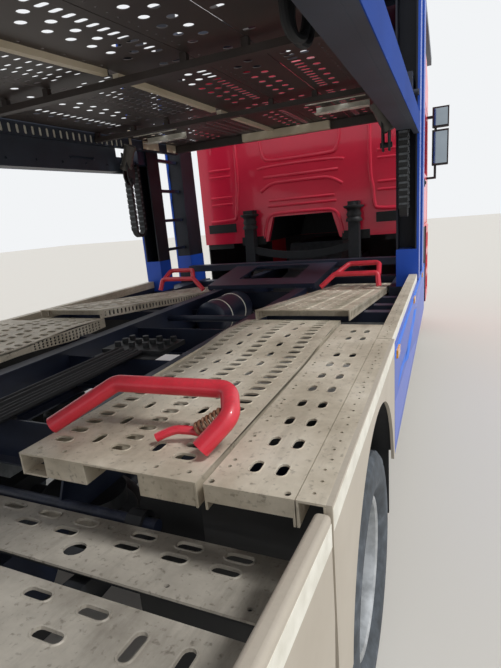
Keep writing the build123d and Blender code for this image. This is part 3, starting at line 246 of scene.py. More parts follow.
# Cloth: matt with a coarse weave
seatCloth = plainFinish("wovenSeatCloth", ((0.35, "#1D1E22"), (0.65, "#303238")), 5, (0.8, 0.95),
                        relief=0.7, reliefMm=1.5)
print("paints ready")

# Camera where the photograph was taken: beside the tail, above the deck, looking forward
cameraPlace = {"at": (-1.4504, 2.950, 1.654), "yaw": 23.76, "pitch": 14.14, "roll": -4.84,
               "lens": 24.25}
yaw, pitch, roll = (math.radians(cameraPlace[key]) for key in ("yaw", "pitch", "roll"))
ahead = Vector((math.sin(yaw) * math.cos(pitch), -math.cos(yaw) * math.cos(pitch),
                -math.sin(pitch)))
level = Vector((-math.cos(yaw), -math.sin(yaw), 0))
upright = level.cross(ahead)
cameraX = math.cos(roll) * level + math.sin(roll) * upright
cameraY = -math.sin(roll) * level + math.cos(roll) * upright
camera = bpy.data.objects.new("camera", bpy.data.cameras.new("camera"))
camera.data.lens = cameraPlace["lens"]
camera.data.sensor_width = 36
camera.data.clip_end = 200
cameraTurn = Matrix((cameraX, cameraY, -ahead)).transposed()
camera.matrix_world = Matrix.Translation(cameraPlace["at"]) @ cameraTurn.to_4x4()
bpy.context.collection.objects.link(camera)
bpy.context.scene.camera = camera


def takeMesh(bm, name, merge=0.0):
    if merge:
        bmesh.ops.remove_doubles(bm, verts=bm.verts, dist=merge)
    bmesh.ops.recalc_face_normals(bm, faces=bm.faces)
    mesh = bpy.data.meshes.new(name)
    bm.to_mesh(mesh)
    bm.free()
    return mesh


def finishPiece(name, shape, body, slotName, material, replaced=(), smooth=35, merge=0.0):
    # One finished piece from a bmesh or a mesh: shaded by angle, painted, riding on its body
    mesh = shape if isinstance(shape, bpy.types.Mesh) else takeMesh(shape, name, merge)
    piece = bpy.data.objects.new(name, mesh)
    bpy.context.collection.objects.link(piece)
    mesh.materials.clear()
    mesh.materials.append(material)
    mesh.polygons.foreach_set("use_smooth", [True] * len(mesh.polygons))
    mesh.set_sharp_from_angle(angle=math.radians(smooth))
    mesh.update()
    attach(piece, body)
    if replaced:
        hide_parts(*replaced)
    return piece


def roundEdges(piece, width, segments, angle=30):
    rounding = piece.modifiers.new("roundEdges", "BEVEL")
    rounding.width = width
    rounding.segments = segments
    rounding.angle_limit = math.radians(angle)


def plainMesh(carrier):
    # The evaluated modifier result as a mesh of its own, its carrier removed
    bpy.context.view_layer.update()
    mesh = bpy.data.meshes.new_from_object(carrier.evaluated_get(
        bpy.context.evaluated_depsgraph_get()))
    bpy.data.objects.remove(carrier)
    return mesh


def newTree(name, inputs):
    # inputs: name and socket kind of each of the tree's own settings
    tree = bpy.data.node_groups.new(name, "GeometryNodeTree")
    for way in ("INPUT", "OUTPUT"):
        tree.interface.new_socket("Geometry", in_out=way, socket_type="NodeSocketGeometry")
    for label, kind in inputs:
        tree.interface.new_socket(label, in_out="INPUT", socket_type="NodeSocket" + kind)
    return tree, addNode(tree, "NodeGroupInput").outputs


def closeTree(tree, geometry, material):
    real = addNode(tree, "GeometryNodeRealizeInstances", links={"Geometry": geometry})
    painted = addNode(tree, "GeometryNodeSetMaterial", links={
        "Geometry": real, "Material": material})
    addNode(tree, "NodeGroupOutput", links={"Geometry": painted})


def runTree(tree, mesh, values):
    carrier = bpy.data.objects.new("carrier", mesh)
    bpy.context.collection.objects.link(carrier)
    modifier = carrier.modifiers.new("tree", "NODES")
    modifier.node_group = tree
    for item in tree.interface.items_tree:
        if item.item_type == "SOCKET" and item.in_out == "INPUT" and item.name in values:
            modifier[item.identifier] = values[item.name]
    return plainMesh(carrier)


def pointMesh(points, edges=(), **attributes):
    mesh = bpy.data.meshes.new("points")
    mesh.from_pydata(points, edges, [])
    for label, values in attributes.items():
        kind = {bool: "BOOLEAN", float: "FLOAT"}.get(type(values[0]))
        if kind:
            mesh.attributes.new(label, kind, "POINT").data.foreach_set("value", values)
        else:
            mesh.attributes.new(label, "FLOAT_VECTOR", "POINT").data.foreach_set(
                "vector", [c for value in values for c in value])
    return mesh


# The press that punches sheets: an outline of edges, and a point for each slot or hole
punch, punchIn = newTree("punchedSheet", (
    ("Slot Length", "Float"), ("Slot Width", "Float"), ("Hole Radius", "Float"),
    ("Sheet Thickness", "Float"), ("Collar Radius", "Float"), ("Material", "Material")))
isSlot, isHole, turn, size = (
    addNode(punch, "GeometryNodeInputNamedAttribute", {"data_type": kind, "Name": label})
    for label, kind in (("isSlot", "BOOLEAN"), ("isHole", "BOOLEAN"), ("turn", "FLOAT"),
                        ("size", "FLOAT")))
turned = addNode(punch, "ShaderNodeCombineXYZ", links={"Z": turn})


def roundEnded(length, width):
    # A slot's outline: a box whose ends are filleted to half circles
    half = addNode(punch, "ShaderNodeMath", {"operation": "MULTIPLY", 1: 0.499}, {0: width})
    box = addNode(punch, "GeometryNodeCurvePrimitiveQuadrilateral", links={
        "Width": length, "Height": width})
    return addNode(punch, "GeometryNodeFilletCurve", {"mode": "POLY", "Count": 3},
                   {"Curve": box, "Radius": half})


def stamp(shape, chosen):
    return addNode(punch, "GeometryNodeInstanceOnPoints", links={
        "Points": punchIn["Geometry"], "Selection": chosen, "Instance": shape,
        "Rotation": turned, "Scale": size})


slotRim = roundEnded(punchIn["Slot Length"], punchIn["Slot Width"])
holeRim = addNode(punch, "GeometryNodeCurvePrimitiveCircle", {"mode": "RADIUS", "Resolution": 14},
                  {"Radius": punchIn["Hole Radius"]})
sheetEdge = addNode(punch, "GeometryNodeMeshToCurve", links={"Mesh": punchIn["Geometry"]})
drawn = addNode(punch, "GeometryNodeJoinGeometry", links={
    "Geometry": (sheetEdge, stamp(slotRim, isSlot), stamp(holeRim, isHole))})
flatCurves = addNode(punch, "GeometryNodeRealizeInstances", links={"Geometry": drawn})
filled = addNode(punch, "GeometryNodeFillCurve", links={"Curve": flatCurves})
raised = addNode(punch, "GeometryNodeExtrudeMesh", {"Individual": False}, {
    "Mesh": filled, "Offset Scale": punchIn["Sheet Thickness"]})
under = addNode(punch, "GeometryNodeFlipFaces", links={"Mesh": filled})
shell = addNode(punch, "GeometryNodeJoinGeometry", links={"Geometry": (raised, under)})
welded = addNode(punch, "GeometryNodeMergeByDistance", {"Distance": 0.00002}, {"Geometry": shell})
# a collar is a thin round bead that lies on the sheet just outside the slot's rim
collarRim = roundEnded(*(
    addNode(punch, "ShaderNodeMath", {"operation": "MULTIPLY_ADD", 1: 1.6},
            {0: punchIn["Collar Radius"], 2: punchIn[label]})
    for label in ("Slot Length", "Slot Width")))
collarSection = addNode(punch, "GeometryNodeCurvePrimitiveCircle", {
    "mode": "RADIUS", "Resolution": 5}, {"Radius": punchIn["Collar Radius"]})
collarBead = addNode(punch, "GeometryNodeCurveToMesh", links={
    "Curve": collarRim, "Profile Curve": collarSection})
sheetTop = addNode(punch, "ShaderNodeCombineXYZ", links={"Z": punchIn["Sheet Thickness"]})
collarSeat = addNode(punch, "GeometryNodeTransform", links={
    "Geometry": collarBead, "Translation": sheetTop})
hasCollar = addNode(punch, "FunctionNodeCompare", {
    "data_type": "FLOAT", "operation": "GREATER_THAN"}, {0: punchIn["Collar Radius"]})
collared = addNode(punch, "FunctionNodeBooleanMath", {"operation": "AND"},
                   {0: hasCollar, 1: isSlot})
pressed = addNode(punch, "GeometryNodeJoinGeometry", links={
    "Geometry": (welded, stamp(collarSeat, collared))})
closeTree(punch, pressed, punchIn["Material"])


def punchSheet(into, sheet, outline, openings, place, bends=()):
    # openings: (x, y, "slot" or "hole", turn in degrees, size). place moves a flat point to its
    # real place, and the sheet is first cut along the bends so that it can fold there
    plain = len(outline)
    carrier = pointMesh(
        [(*spot[:2], 0) for spot in (*outline, *openings)],
        [(i, (i + 1) % plain) for i in range(plain)],
        isSlot=[False] * plain + [o[2] == "slot" for o in openings],
        isHole=[False] * plain + [o[2] == "hole" for o in openings],
        turn=[0.0] * plain + [math.radians(o[3]) for o in openings],
        size=[1.0] * plain + [float(o[4]) for o in openings])
    mesh = runTree(punch, carrier, {
        "Slot Length": sheet["slot"][0], "Slot Width": sheet["slot"][1],
        "Hole Radius": sheet["hole"], "Sheet Thickness": sheet["thick"],
        "Collar Radius": sheet.get("collar", 0.0)})
    bm = bmesh.new()
    bm.from_mesh(mesh)
    for axis, value in bends:
        normal = Vector((1, 0, 0)) if axis == "x" else Vector((0, 1, 0))
        bmesh.ops.bisect_plane(bm, geom=list(bm.verts) + list(bm.edges) + list(bm.faces),
                               dist=1e-6, plane_co=normal * value, plane_no=normal)
    for vert in bm.verts:
        vert.co = place(vert.co.x, vert.co.y, vert.co.z - sheet["thick"])
    bmesh.ops.recalc_face_normals(bm, faces=bm.faces)
    bm.to_mesh(mesh)
    bm.free()
    into.from_mesh(mesh)
    bpy.data.meshes.remove(mesh)


# Bolt heads: a washer and a six-sided head on each point, facing along the point's own direction
bolts, boltsIn = newTree("boltHeads", (
    ("Head Radius", "Float"), ("Head Height", "Float"), ("Washer Radius", "Float"),
    ("Seed", "Int"), ("Material", "Material")))
headShape = addNode(bolts, "GeometryNodeMeshCylinder", {"Vertices": 6}, {
    "Radius": boltsIn["Head Radius"], "Depth": boltsIn["Head Height"]})
washerShape = addNode(bolts, "GeometryNodeMeshCylinder", {"Vertices": 16, "Depth": 0.003}, {
    "Radius": boltsIn["Washer Radius"]})
headLift = addNode(bolts, "ShaderNodeMath", {"operation": "MULTIPLY", 1: 0.5},
                   {0: boltsIn["Head Height"]})
headPlace = addNode(bolts, "ShaderNodeCombineXYZ", links={"Z": headLift})
headSeat = addNode(bolts, "GeometryNodeTransform", links={
    "Geometry": headShape, "Translation": headPlace})
oneBolt = addNode(bolts, "GeometryNodeJoinGeometry", links={"Geometry": (headSeat, washerShape)})
facing = addNode(bolts, "GeometryNodeInputNamedAttribute", {
    "data_type": "FLOAT_VECTOR", "Name": "facing"})
aimed = addNode(bolts, "FunctionNodeAlignRotationToVector", {"axis": "Z"}, {"Vector": facing})
spin = addNode(bolts, "FunctionNodeRandomValue", {"data_type": "FLOAT", 3: 1.05},
               {"Seed": boltsIn["Seed"]})
spinTurn = addNode(bolts, "ShaderNodeCombineXYZ", links={"Z": spin.outputs[1]})
spinAngle = addNode(bolts, "FunctionNodeEulerToRotation", links={0: spinTurn})
bolted = addNode(bolts, "GeometryNodeInstanceOnPoints", links={
    "Points": boltsIn["Geometry"], "Instance": oneBolt, "Rotation": aimed})
spun = addNode(bolts, "GeometryNodeRotateInstances", links={
    "Instances": bolted, "Rotation": spinAngle})
closeTree(bolts, spun, boltsIn["Material"])


def boltHeads(name, body, slotName, material, head, rows):
    # rows: (x, y, z, direction) for each bolt, head: its radius and height, and the washer's radius
    mesh = pointMesh([row[:3] for row in rows], facing=[row[3] for row in rows])
    made = runTree(bolts, mesh, {"Head Radius": head[0], "Head Height": head[1],
                                 "Washer Radius": head[2], "Seed": 7})
    return finishPiece(name, made, body, slotName, material)


def onSide(sign, near, far):
    # Two x values on the truck's left or right, the lower one first
    return sorted((sign * near, sign * far))


def rectangle(u0, u1, w0, w1):
    return ((u0, w0), (u1, w0), (u1, w1), (u0, w1))


def mirrorLine(points):
    return tuple((-x, w) for x, w in reversed(points) if x)


def inSpace(x, y, z):
    return Vector((x, y, z))


def addBox(bm, x, y, z, place=inSpace):
    # A plain member between its limits, for the parts of a larger piece
    for vert in bmesh.ops.create_cube(bm, size=1.0)["verts"]:
        vert.co = place(*(low + (c + 0.5) * (high - low)
                          for c, (low, high) in zip(vert.co, (x, y, z))))


def addBoxes(bm, sign, boxes):
    # boxes: limits along x, y and z of members on the truck's left or right
    for x, y, z in boxes:
        addBox(bm, onSide(sign, *x), y, z)


def addPrism(bm, outline, x, place):
    # A side shape of (u, w) points given its width between two x values
    rings = [[bm.verts.new(place(value, u, w)) for u, w in outline] for value in x]
    bm.faces.new(rings[0])
    bm.faces.new(reversed(rings[1]))
    for i in range(len(outline)):
        bm.faces.new((rings[0][i - 1], rings[0][i], rings[1][i], rings[1][i - 1]))


def ringPoints(radius, count):
    angles = [2 * math.pi * k / count for k in range(count)]
    return [(radius * math.cos(a), radius * math.sin(a)) for a in angles]


def spinProfile(bm, profile, place, segments=96, shape=None, closed=True):
    # A profile of (along, radius) points turned about an axis: place takes a point along the axis
    # and its two distances across
    rings = []
    for k, (across, up) in enumerate(ringPoints(1.0, segments)):
        real = [shape(i, k, radius) if shape else radius
                for i, (along, radius) in enumerate(profile)]
        rings.append([bm.verts.new(place(along, r * across, r * up))
                      for (along, radius), r in zip(profile, real)])
    for k in range(segments):
        for i in range(0 if closed else 1, len(profile)):
            bm.faces.new((rings[k - 1][i - 1], rings[k - 1][i], rings[k][i], rings[k][i - 1]))


def addTube(bm, points, radius, corners=3, place=None):
    # A round bar along a smooth line with these control points
    line = bpy.data.curves.new("line", "CURVE")
    line.dimensions = "3D"
    line.bevel_depth = radius
    line.bevel_resolution = corners
    line.use_fill_caps = True
    spline = line.splines.new("NURBS")
    spline.points.add(len(points) - 1)
    for target, point in zip(spline.points, points):
        target.co = (*point, 1)
    spline.order_u = 3
    spline.use_endpoint_u = True
    spline.resolution_u = 6
    carrier = bpy.data.objects.new("line", line)
    bpy.context.collection.objects.link(carrier)
    mesh = plainMesh(carrier)
    if place:
        for vert in mesh.vertices:
            vert.co = place(*vert.co)
    bm.from_mesh(mesh)
    bpy.data.meshes.remove(mesh)


def lineZ(profile, y):
    # Height on a line of (y, z) points that runs from rear to front
    pairs = list(zip(profile, profile[1:]))
    (y0, z0), (y1, z1) = next((pair for pair in pairs if y >= pair[1][0]), pairs[-1])
    return z0 + (z1 - z0) * (y0 - y) / (y0 - y1)


def roundedLine(profile, reach):
    # The same line with each corner drawn as a short curve, as a press brake leaves it
    points = [profile[0]]
    for before, corner, after in zip(profile, profile[1:], profile[2:]):
        a, b, c = (Vector(p) for p in (before, corner, after))
        start = b + (a - b).normalized() * reach
        end = b + (c - b).normalized() * reach
        points += [tuple(start.lerp(b, t).lerp(b.lerp(end, t), t)) for t in (0, 0.25, 0.5, 0.75, 1)]
    return points + [profile[-1]]


# Runways of the lower deck: an inner plate that dips and humps, an outer plate, an edge plate and
# ramp plates to the front. Metres, x is the distance from the truck's middle, y rises to the rear.
runway = {
    "slot": (0.054, 0.028), "hole": 0.0065, "thick": 0.005, "collar": 0.0022,
    "top": 1.141, "foot": 1.081, "rear": 2.25, "innerFront": 0.785, "outerFront": 0.875,
    "innerX": (0.485, 0.990), "outerX": (1.008, 1.203), "edgeX": (1.205, 1.263),
    "line": roundedLine(((2.25, 1.141), (1.39, 1.127), (1.06, 1.152), (0.785, 1.138)), 0.09),
    "slotRows": (
        # turn, size, x of each row, rear end, pitch, slots in a row
        (0, 1.0, (0.545, 0.728, 0.912), 2.160, 0.0563, 25),
        (90, 0.92, (0.638, 0.822), 2.132, 0.1126, 12)),
    "cornerHoles": (0.52, 0.6, 0.87, 0.955),
    "sideHoles": {"first": 0.84, "pitch": 0.027, "count": 19, "drop": 0.017, "rowPitch": 0.016},
    "openEnd": (
        # three dividers, the lower lip and two short covers
        ((0.565, 0.569), (1.75, 2.246), (1.083, 1.1355)),
        ((0.686, 0.690), (1.75, 2.246), (1.083, 1.1355)),
        ((0.843, 0.847), (1.75, 2.246), (1.083, 1.1355)),
        ((0.491, 0.565), (2.205, 2.249), (1.0812, 1.0852)),
        ((0.565, 0.690), (2.2455, 2.2492), (1.0835, 1.1352)),
        ((0.843, 0.984), (2.2455, 2.2492), (1.0835, 1.1352))),
    "pairs": {"x": (1.090, 1.149), "rear": 2.158, "pitch": 0.1155, "count": 11, "missing": 8},
    "dimpleX": 1.032, "dimpleShift": 0.014, "rearHoles": (1.02, 1.185), "rearHolesY": 2.235,
    "dotX": (1.075, 1.09, 1.149, 1.163), "dotY": 1.234, "dotPitch": 0.012, "dotsEachWay": 3,
    "endCover": ((2.247, 2.2499), (1.1, 1.136)), "fold": 0.005, "foldTop": 1.136,
    "edgeLengths": ((-0.80, 1.108), (1.113, 2.25)), "edgePitch": 0.043,
    "edgeDimpleX": (1.2335, 1.2385),
}
ramp = {
    **runway, "collar": 0.005, "x": (0.528, 1.031), "line": ((0.768, 1.187), (-1.33, 0.9935644)),
    "lengths": ((-0.640, 0.768), (-1.33, -0.650)), "rowPitch": 0.075,
    "acrossX": (0.60, 0.78, 0.95), "alongX": (0.69, 0.865), "sidePitch": 0.040,
    "stopX": (0.534, 1.025),
}


def makeRunway(bm, sign):
    def laidOn(line):
        return lambda x, y, z: Vector((sign * x, y, lineZ(line, y) + z))

    def onEdge(x, height):
        # a folded side that stands at x, u along it and v up it
        return lambda u, v, t: Vector((sign * (x - t), u, height(u, v)))

    def foldedSides(low, high, front, rear):
        for x in (low, high - fold):
            addBox(bm, onSide(sign, x, x + fold), (front, rear), (foot, runway["foldTop"]))

    front, rear, top, foot, fold = (
        runway[key] for key in ("innerFront", "rear", "top", "foot", "fold"))
    bendPlaces = [y for y, z in runway["line"][1:-1]]
    openings = [(x, first - k * pitch, "slot", turn, size)
                for turn, size, across, first, pitch, count in runway["slotRows"]
                for x in across for k in range(count)]
    openings += [(x, rear - 0.035, "hole", 0, 1.0) for x in runway["cornerHoles"]]
    low, high = runway["innerX"]
    punchSheet(bm, runway, rectangle(low, high, front, rear), openings, laidOn(runway["line"]),
               [("y", y) for y in bendPlaces])
    # folded sides: the inner one has three rows of small holes where daylight comes through
    holes = runway["sideHoles"]
    for x, rows in ((low, 3), (high - fold, 0)):
        openings = [(holes["first"] + holes["pitch"] * k, -holes["drop"] - holes["rowPitch"] * row,
                     "hole", 0, 1.05) for row in range(rows) for k in range(holes["count"])]
        punchSheet(bm, runway, rectangle(front, rear, -0.06, -0.005), openings, onEdge(
            x, lambda u, v: top + v * (lineZ(runway["line"], u) - foot) / 0.06),
            [("x", y) for y in bendPlaces])
    addBoxes(bm, sign, runway["openEnd"])
    # outer plate: pairs of long slots, and dimples beside them
    pairs = runway["pairs"]
    openings = []
    for k in range(pairs["count"]):
        y = pairs["rear"] - k * pairs["pitch"]
        if k != pairs["missing"]:
            openings += [(x, y, "slot", 90, 0.87) for x in pairs["x"]]
        openings += [(runway["dimpleX"], y + way * runway["dimpleShift"], "hole", 0, 0.8)
                     for way in (1, -1)]
    openings += [(x, runway["rearHolesY"], "hole", 0, 1.1) for x in runway["rearHoles"]]
    openings += [(x, runway["dotY"] + runway["dotPitch"] * k, "hole", 0, 0.35)
                 for x in runway["dotX"]
                 for k in range(-runway["dotsEachWay"], runway["dotsEachWay"] + 1)]
    level = ((rear, top), (0, top))
    low, high = runway["outerX"]
    punchSheet(bm, runway, rectangle(low, high, runway["outerFront"], rear), openings,
               laidOn(level))
    foldedSides(low, high, runway["outerFront"], rear)
    addBox(bm, onSide(sign, low, high), *runway["endCover"])
    # edge plate in two lengths, with a zigzag of dimples
    low, high = runway["edgeX"]
    for front, rear in runway["edgeLengths"]:
        dimples = [(runway["edgeDimpleX"][k % 2], rear - 0.03 - runway["edgePitch"] * k,
                    "hole", 0, 0.62)
                   for k in range(int((rear - front - 0.05) / runway["edgePitch"]))]
        punchSheet(bm, runway, rectangle(low, high, front, rear), dimples, laidOn(level))
        foldedSides(low, high, front, rear)
    # ramp plates: rows of slots across, slots along between every second pair, slotted sides
    low, high = ramp["x"]
    for front, rear in ramp["lengths"]:
        openings = []
        for k in range(int((rear - front - 0.06) / ramp["rowPitch"])):
            y = rear - 0.07 - ramp["rowPitch"] * k
            openings += [(x, y, "slot", 0, 0.95) for x in ramp["acrossX"]]
            if k % 2 == 0:
                openings += [(x, y - 0.03, "slot", 90, 0.85) for x in ramp["alongX"]]
        punchSheet(bm, ramp, rectangle(low, high, front, rear), openings, laidOn(ramp["line"]))
        slots = [(rear - 0.05 - ramp["sidePitch"] * k, -0.028, "slot", 90, 0.62)
                 for k in range(int((rear - front - 0.1) / ramp["sidePitch"]))]
        for x in (low, high - fold):
            punchSheet(bm, runway, rectangle(front, rear, -0.055, -0.005), slots, onEdge(
                x, lambda u, v: lineZ(ramp["line"], u) + v))
        height = lineZ(ramp["line"], rear)
        addBox(bm, onSide(sign, *ramp["stopX"]), (rear - 0.09, rear - 0.084),
               (height - 0.05, height - 0.014))


bm = bmesh.new()
for name, sign in sides:
    makeRunway(bm, sign)
piece = finishPiece("runwayPlates", bm, "chassis", "galvanised_steel", runwayZinc,
                    ("lower_deck",), smooth=30)
print("runways punched:", len(piece.data.polygons), "faces")

# Plates of the tail deck, on a plane that climbs to the rear: u runs back from the hinge, w up from
# the plane. The openings of one half are mirrored to the other.
tail = {
    "slot": (0.070, 0.027), "hole": 0.0275, "thick": 0.006, "collar": 0.003,
    "hinge": (2.105, 0.878), "pitch": math.radians(8), "plates": 8, "firstU": 0.043,
    "pitchU": 0.248, "width": 0.199, "halfWide": 1.15, "wallX": (1.243, 1.275), "lift": 0.018,
    "lip": (-0.010, 0.0119), "lipThick": 0.005, "firstLips": (0.660, 0.05),
    "openings": (
        # distance from the plate's front, kind, turn, size, x places
        (0.032, "slot", 0, 1.0, (0.18, 0.318, 0.454, 0.586, 0.772, 0.904, 1.036)),
        (0.084, "slot", 0, 1.0, (0.25, 0.429, 0.564, 0.757, 0.892, 1.025)),
        (0.135, "hole", 0, 1.0, (0.644,)), (0.03, "hole", 0, 0.3, (0.665,)),
        (0.17, "hole", 0, 0.22, (0.93, 0.4, 1.12))),
    "secondOpenings": (
        (0.04, "slot", 0, 1.0, (0.2, 0.355, 0.52, 0.692, 0.839)),
        (0.115, "slot", 0, 1.0, (0.26, 0.42, 0.62, 0.80)),
        (0.08, "slot", 90, 1.0, (0.964, 1.065)), (0.17, "hole", 0, 0.22, (0.93, 0.4, 1.12))),
}


def onTail(x, u, w):
    slope = tail["pitch"]
    return Vector((x, tail["hinge"][0] + u * math.cos(slope) - w * math.sin(slope),
                   tail["hinge"][1] + u * math.sin(slope) + w * math.cos(slope)))


bm = bmesh.new()
half = tail["halfWide"]
for plate in range(tail["plates"]):
    start = tail["firstU"] + plate * tail["pitchU"]
    end = start + tail["width"]
    openings = [(sign * x, start + u, kind, turn, size) for sign in (-1, 1)
                for u, kind, turn, size, across in tail[
                    "secondOpenings" if plate == 1 else "openings"] for x in across]
    punchSheet(bm, tail, rectangle(-half, half, start, end), openings,
               lambda x, y, z: onTail(x, y, z + tail["lift"]))
    # lips: short on the first plate, which has nearly none behind, so the gap there is dark
    reaches = (half, half) if plate else tail["firstLips"]
    for reach, u in zip(reaches, (start, end - tail["lipThick"])):
        addBox(bm, (-reach, reach), (u, u + tail["lipThick"]), tail["lip"], onTail)
piece = finishPiece("tailPlates", bm, "tail_deck", "galvanised_steel", tailZinc,
                    ("tail_deck_plates",), smooth=30)
print("tail plates punched:", len(piece.data.polygons), "faces")

# Side walls of the tail deck, with the marking tape along their tops
wall = {"line": ((0.185, 0.229), (0.1534, 0.0), (0.1534, -0.250), (1.995, -0.250), (1.995, 0.229)),
        "tape": ((0.190, 0.212), (0.184, 0.164), (1.985, 0.164), (1.985, 0.212)),
        "tapeX": (tail["wallX"][1] - 0.001, tail["wallX"][1] + 0.0006)}
bm, tapes = bmesh.new(), bmesh.new()
for sign in (-1, 1):
    addPrism(bm, wall["line"], onSide(sign, *tail["wallX"]), onTail)
    addPrism(tapes, wall["tape"], onSide(sign, *wall["tapeX"]), onTail)
walls = finishPiece("tailWalls", bm, "tail_deck", "beige_paint", panelLacquer,
                    ("tail_side_walls",))
roundEdges(walls, 0.010, 4, angle=50)
finishPiece("markingTapes", tapes, "tail_deck", "beige_paint", whiteTape)

# Upper deck: folded plates full of holes, seen from below. u runs back along it, w up from it.
upper = {"slot": (0.054, 0.027), "hole": 0.021, "thick": 0.003, "at": (-0.905, 2.164),
         "pitch": math.radians(1.5), "frontU": -0.40, "bendU": 1.955, "rearU": 5.20,
         "plateW": 0.260, "rearFall": 0.0472, "barClear": 0.062, "lift": 0.006,
         "fold": (0.006, 0.036),
         "crossings": (-0.38, 0.815, 1.922, 3.03, 4.14, 5.16)}
openingShapes = {"hole": ("hole", 0, 1.0), "slot": ("slot", 0, 1.0), "dash": ("slot", 0, 0.72),
                 "dot": ("hole", 0, 0.22), "slit": ("slot", 90, 0.3)}
plateRows = (
    # inner x, outer x, columns of (kind, x, step, shift, first u, last u)
    (0.018, 0.400, (("slit", 0.040, 0.1126, 0.0, -0.34, 5.14),
                    ("hole", 0.180, 0.1126, 0.0, -0.34, 5.14),
                    ("hole", 0.254, 0.1126, 0.0563, -0.34, 5.08),
                    ("slot", 0.330, 0.0563, 0.0, -0.34, 5.14))),
    (0.405, 0.690, (("dot", 0.440, 0.0563, 0.0, -0.34, 5.14),
                    ("hole", 0.502, 0.1126, 0.0, -0.34, 5.14),
                    ("hole", 0.580, 0.1126, 0.0563, -0.34, 5.08))),
    (0.695, 1.050, (("slot", 0.766, 0.0563, 0.0, -0.34, 1.9),
                    ("slot", 0.740, 0.2815, 0.1, 1.9, 5.1),
                    ("hole", 0.840, 0.1126, 0.0, -0.34, 1.9),
                    ("dot", 0.924, 0.0563, 0.0, -0.34, 5.14),
                    ("slot", 0.985, 0.1126, 0.03, -0.34, 0.8))))
# the left plate beside the middle differs from the right one: close rows of short slots
leftColumns = [("dash", x, 0.0563, shift, -0.34, 5.14) for x, shift in
               ((0.070, 0.0), (0.128, 0.028), (0.214, 0.0), (0.272, 0.028), (0.350, 0.0))]


def onUpper(x, u, w):
    # the deck falls towards the rear, so u runs down along +y
    slope = upper["pitch"]
    return Vector((x, upper["at"][0] + u * math.cos(slope) + w * math.sin(slope),
                   upper["at"][1] - u * math.sin(slope) + w * math.cos(slope)))


def plateW(u):
    return upper["plateW"] - upper["rearFall"] * max(0, u - upper["bendU"])


def openingColumn(kind, x, step, shift, first, last):
    # One column of openings along the deck that skips the crossings
    places = (first + shift + k * step for k in range(int((last - first) / step)))
    return [(x, u, *openingShapes[kind]) for u in places
            if min(abs(u - bar) for bar in upper["crossings"]) > upper["barClear"]]


rearFall = upper["plateW"] - plateW(upper["rearU"])


def bentStrip(front, low, high):
    # A strip of the deck's side view that bends down with the plates
    bend, rear = upper["bendU"], upper["rearU"]
    return ((front, low), (bend, low), (rear, low - rearFall), (rear, high - rearFall),
            (bend, high), (front, high))


bm = bmesh.new()
for sign in (-1, 1):
    for low, high, columns in plateRows:
        if sign > 0 and low < 0.1:
            columns = leftColumns
        openings = [(sign * x, *rest) for column in columns for x, *rest in openingColumn(*column)]
        punchSheet(bm, upper, rectangle(sign * low, sign * high, upper["frontU"], upper["rearU"]),
                   openings, lambda x, u, z: onUpper(x, u, plateW(u) + z + upper["lift"]),
                   [("y", upper["bendU"])])
        fold = bentStrip(upper["frontU"], *(upper["plateW"] + w for w in upper["fold"]))
        addPrism(bm, fold, onSide(sign, low, low + 0.006), onUpper)
# the galvanised plates take the dark deck paint, which is painted shade of the deck's underside
piece = finishPiece("upperDeckPlates", bm, "upper_deck", "galvanised_steel", deckPaintAndShade,
                    ("upper_deck_plates",), smooth=30)
print("upper deck plates punched:", len(piece.data.polygons), "faces")

# Beams of the upper deck: inner channels with slotted webs and pale linings, an outer web with
# long windows, its floor and stiffeners, and the blue rail outside, whose body and underside are
# dark beam paint as painted shade
beam = {
    "web": {"slot": (0.056, 0.022), "hole": 0.011, "thick": 0.003},
    "window": {"slot": (0.28, 0.020), "hole": 0.011, "thick": 0.008},
    "webX": 1.058, "channelX": (1.058, 1.095), "liningX": (1.0615, 1.064),
    "shelfX": (1.095, 1.155), "floorX": (1.155, 1.236), "railX": (1.235, 1.2715, 1.275),
    "webLow": 0.18, "webHigh": 0.34, "shelf": (0.26, 0.266), "boxFront": 0.48, "railFront": 0.13,
    "teeth": (0.50, 0.0615, 76), "windows": (0.90, 1.0, 5), "holes": (0.62, 0.246, 18),
    "stiffeners": (1.0, 2.1, 3.2, 4.3),
}


def steps(row):
    # row: first place, pitch, count
    first, pitch, count = row
    return [first + pitch * k for k in range(count)]


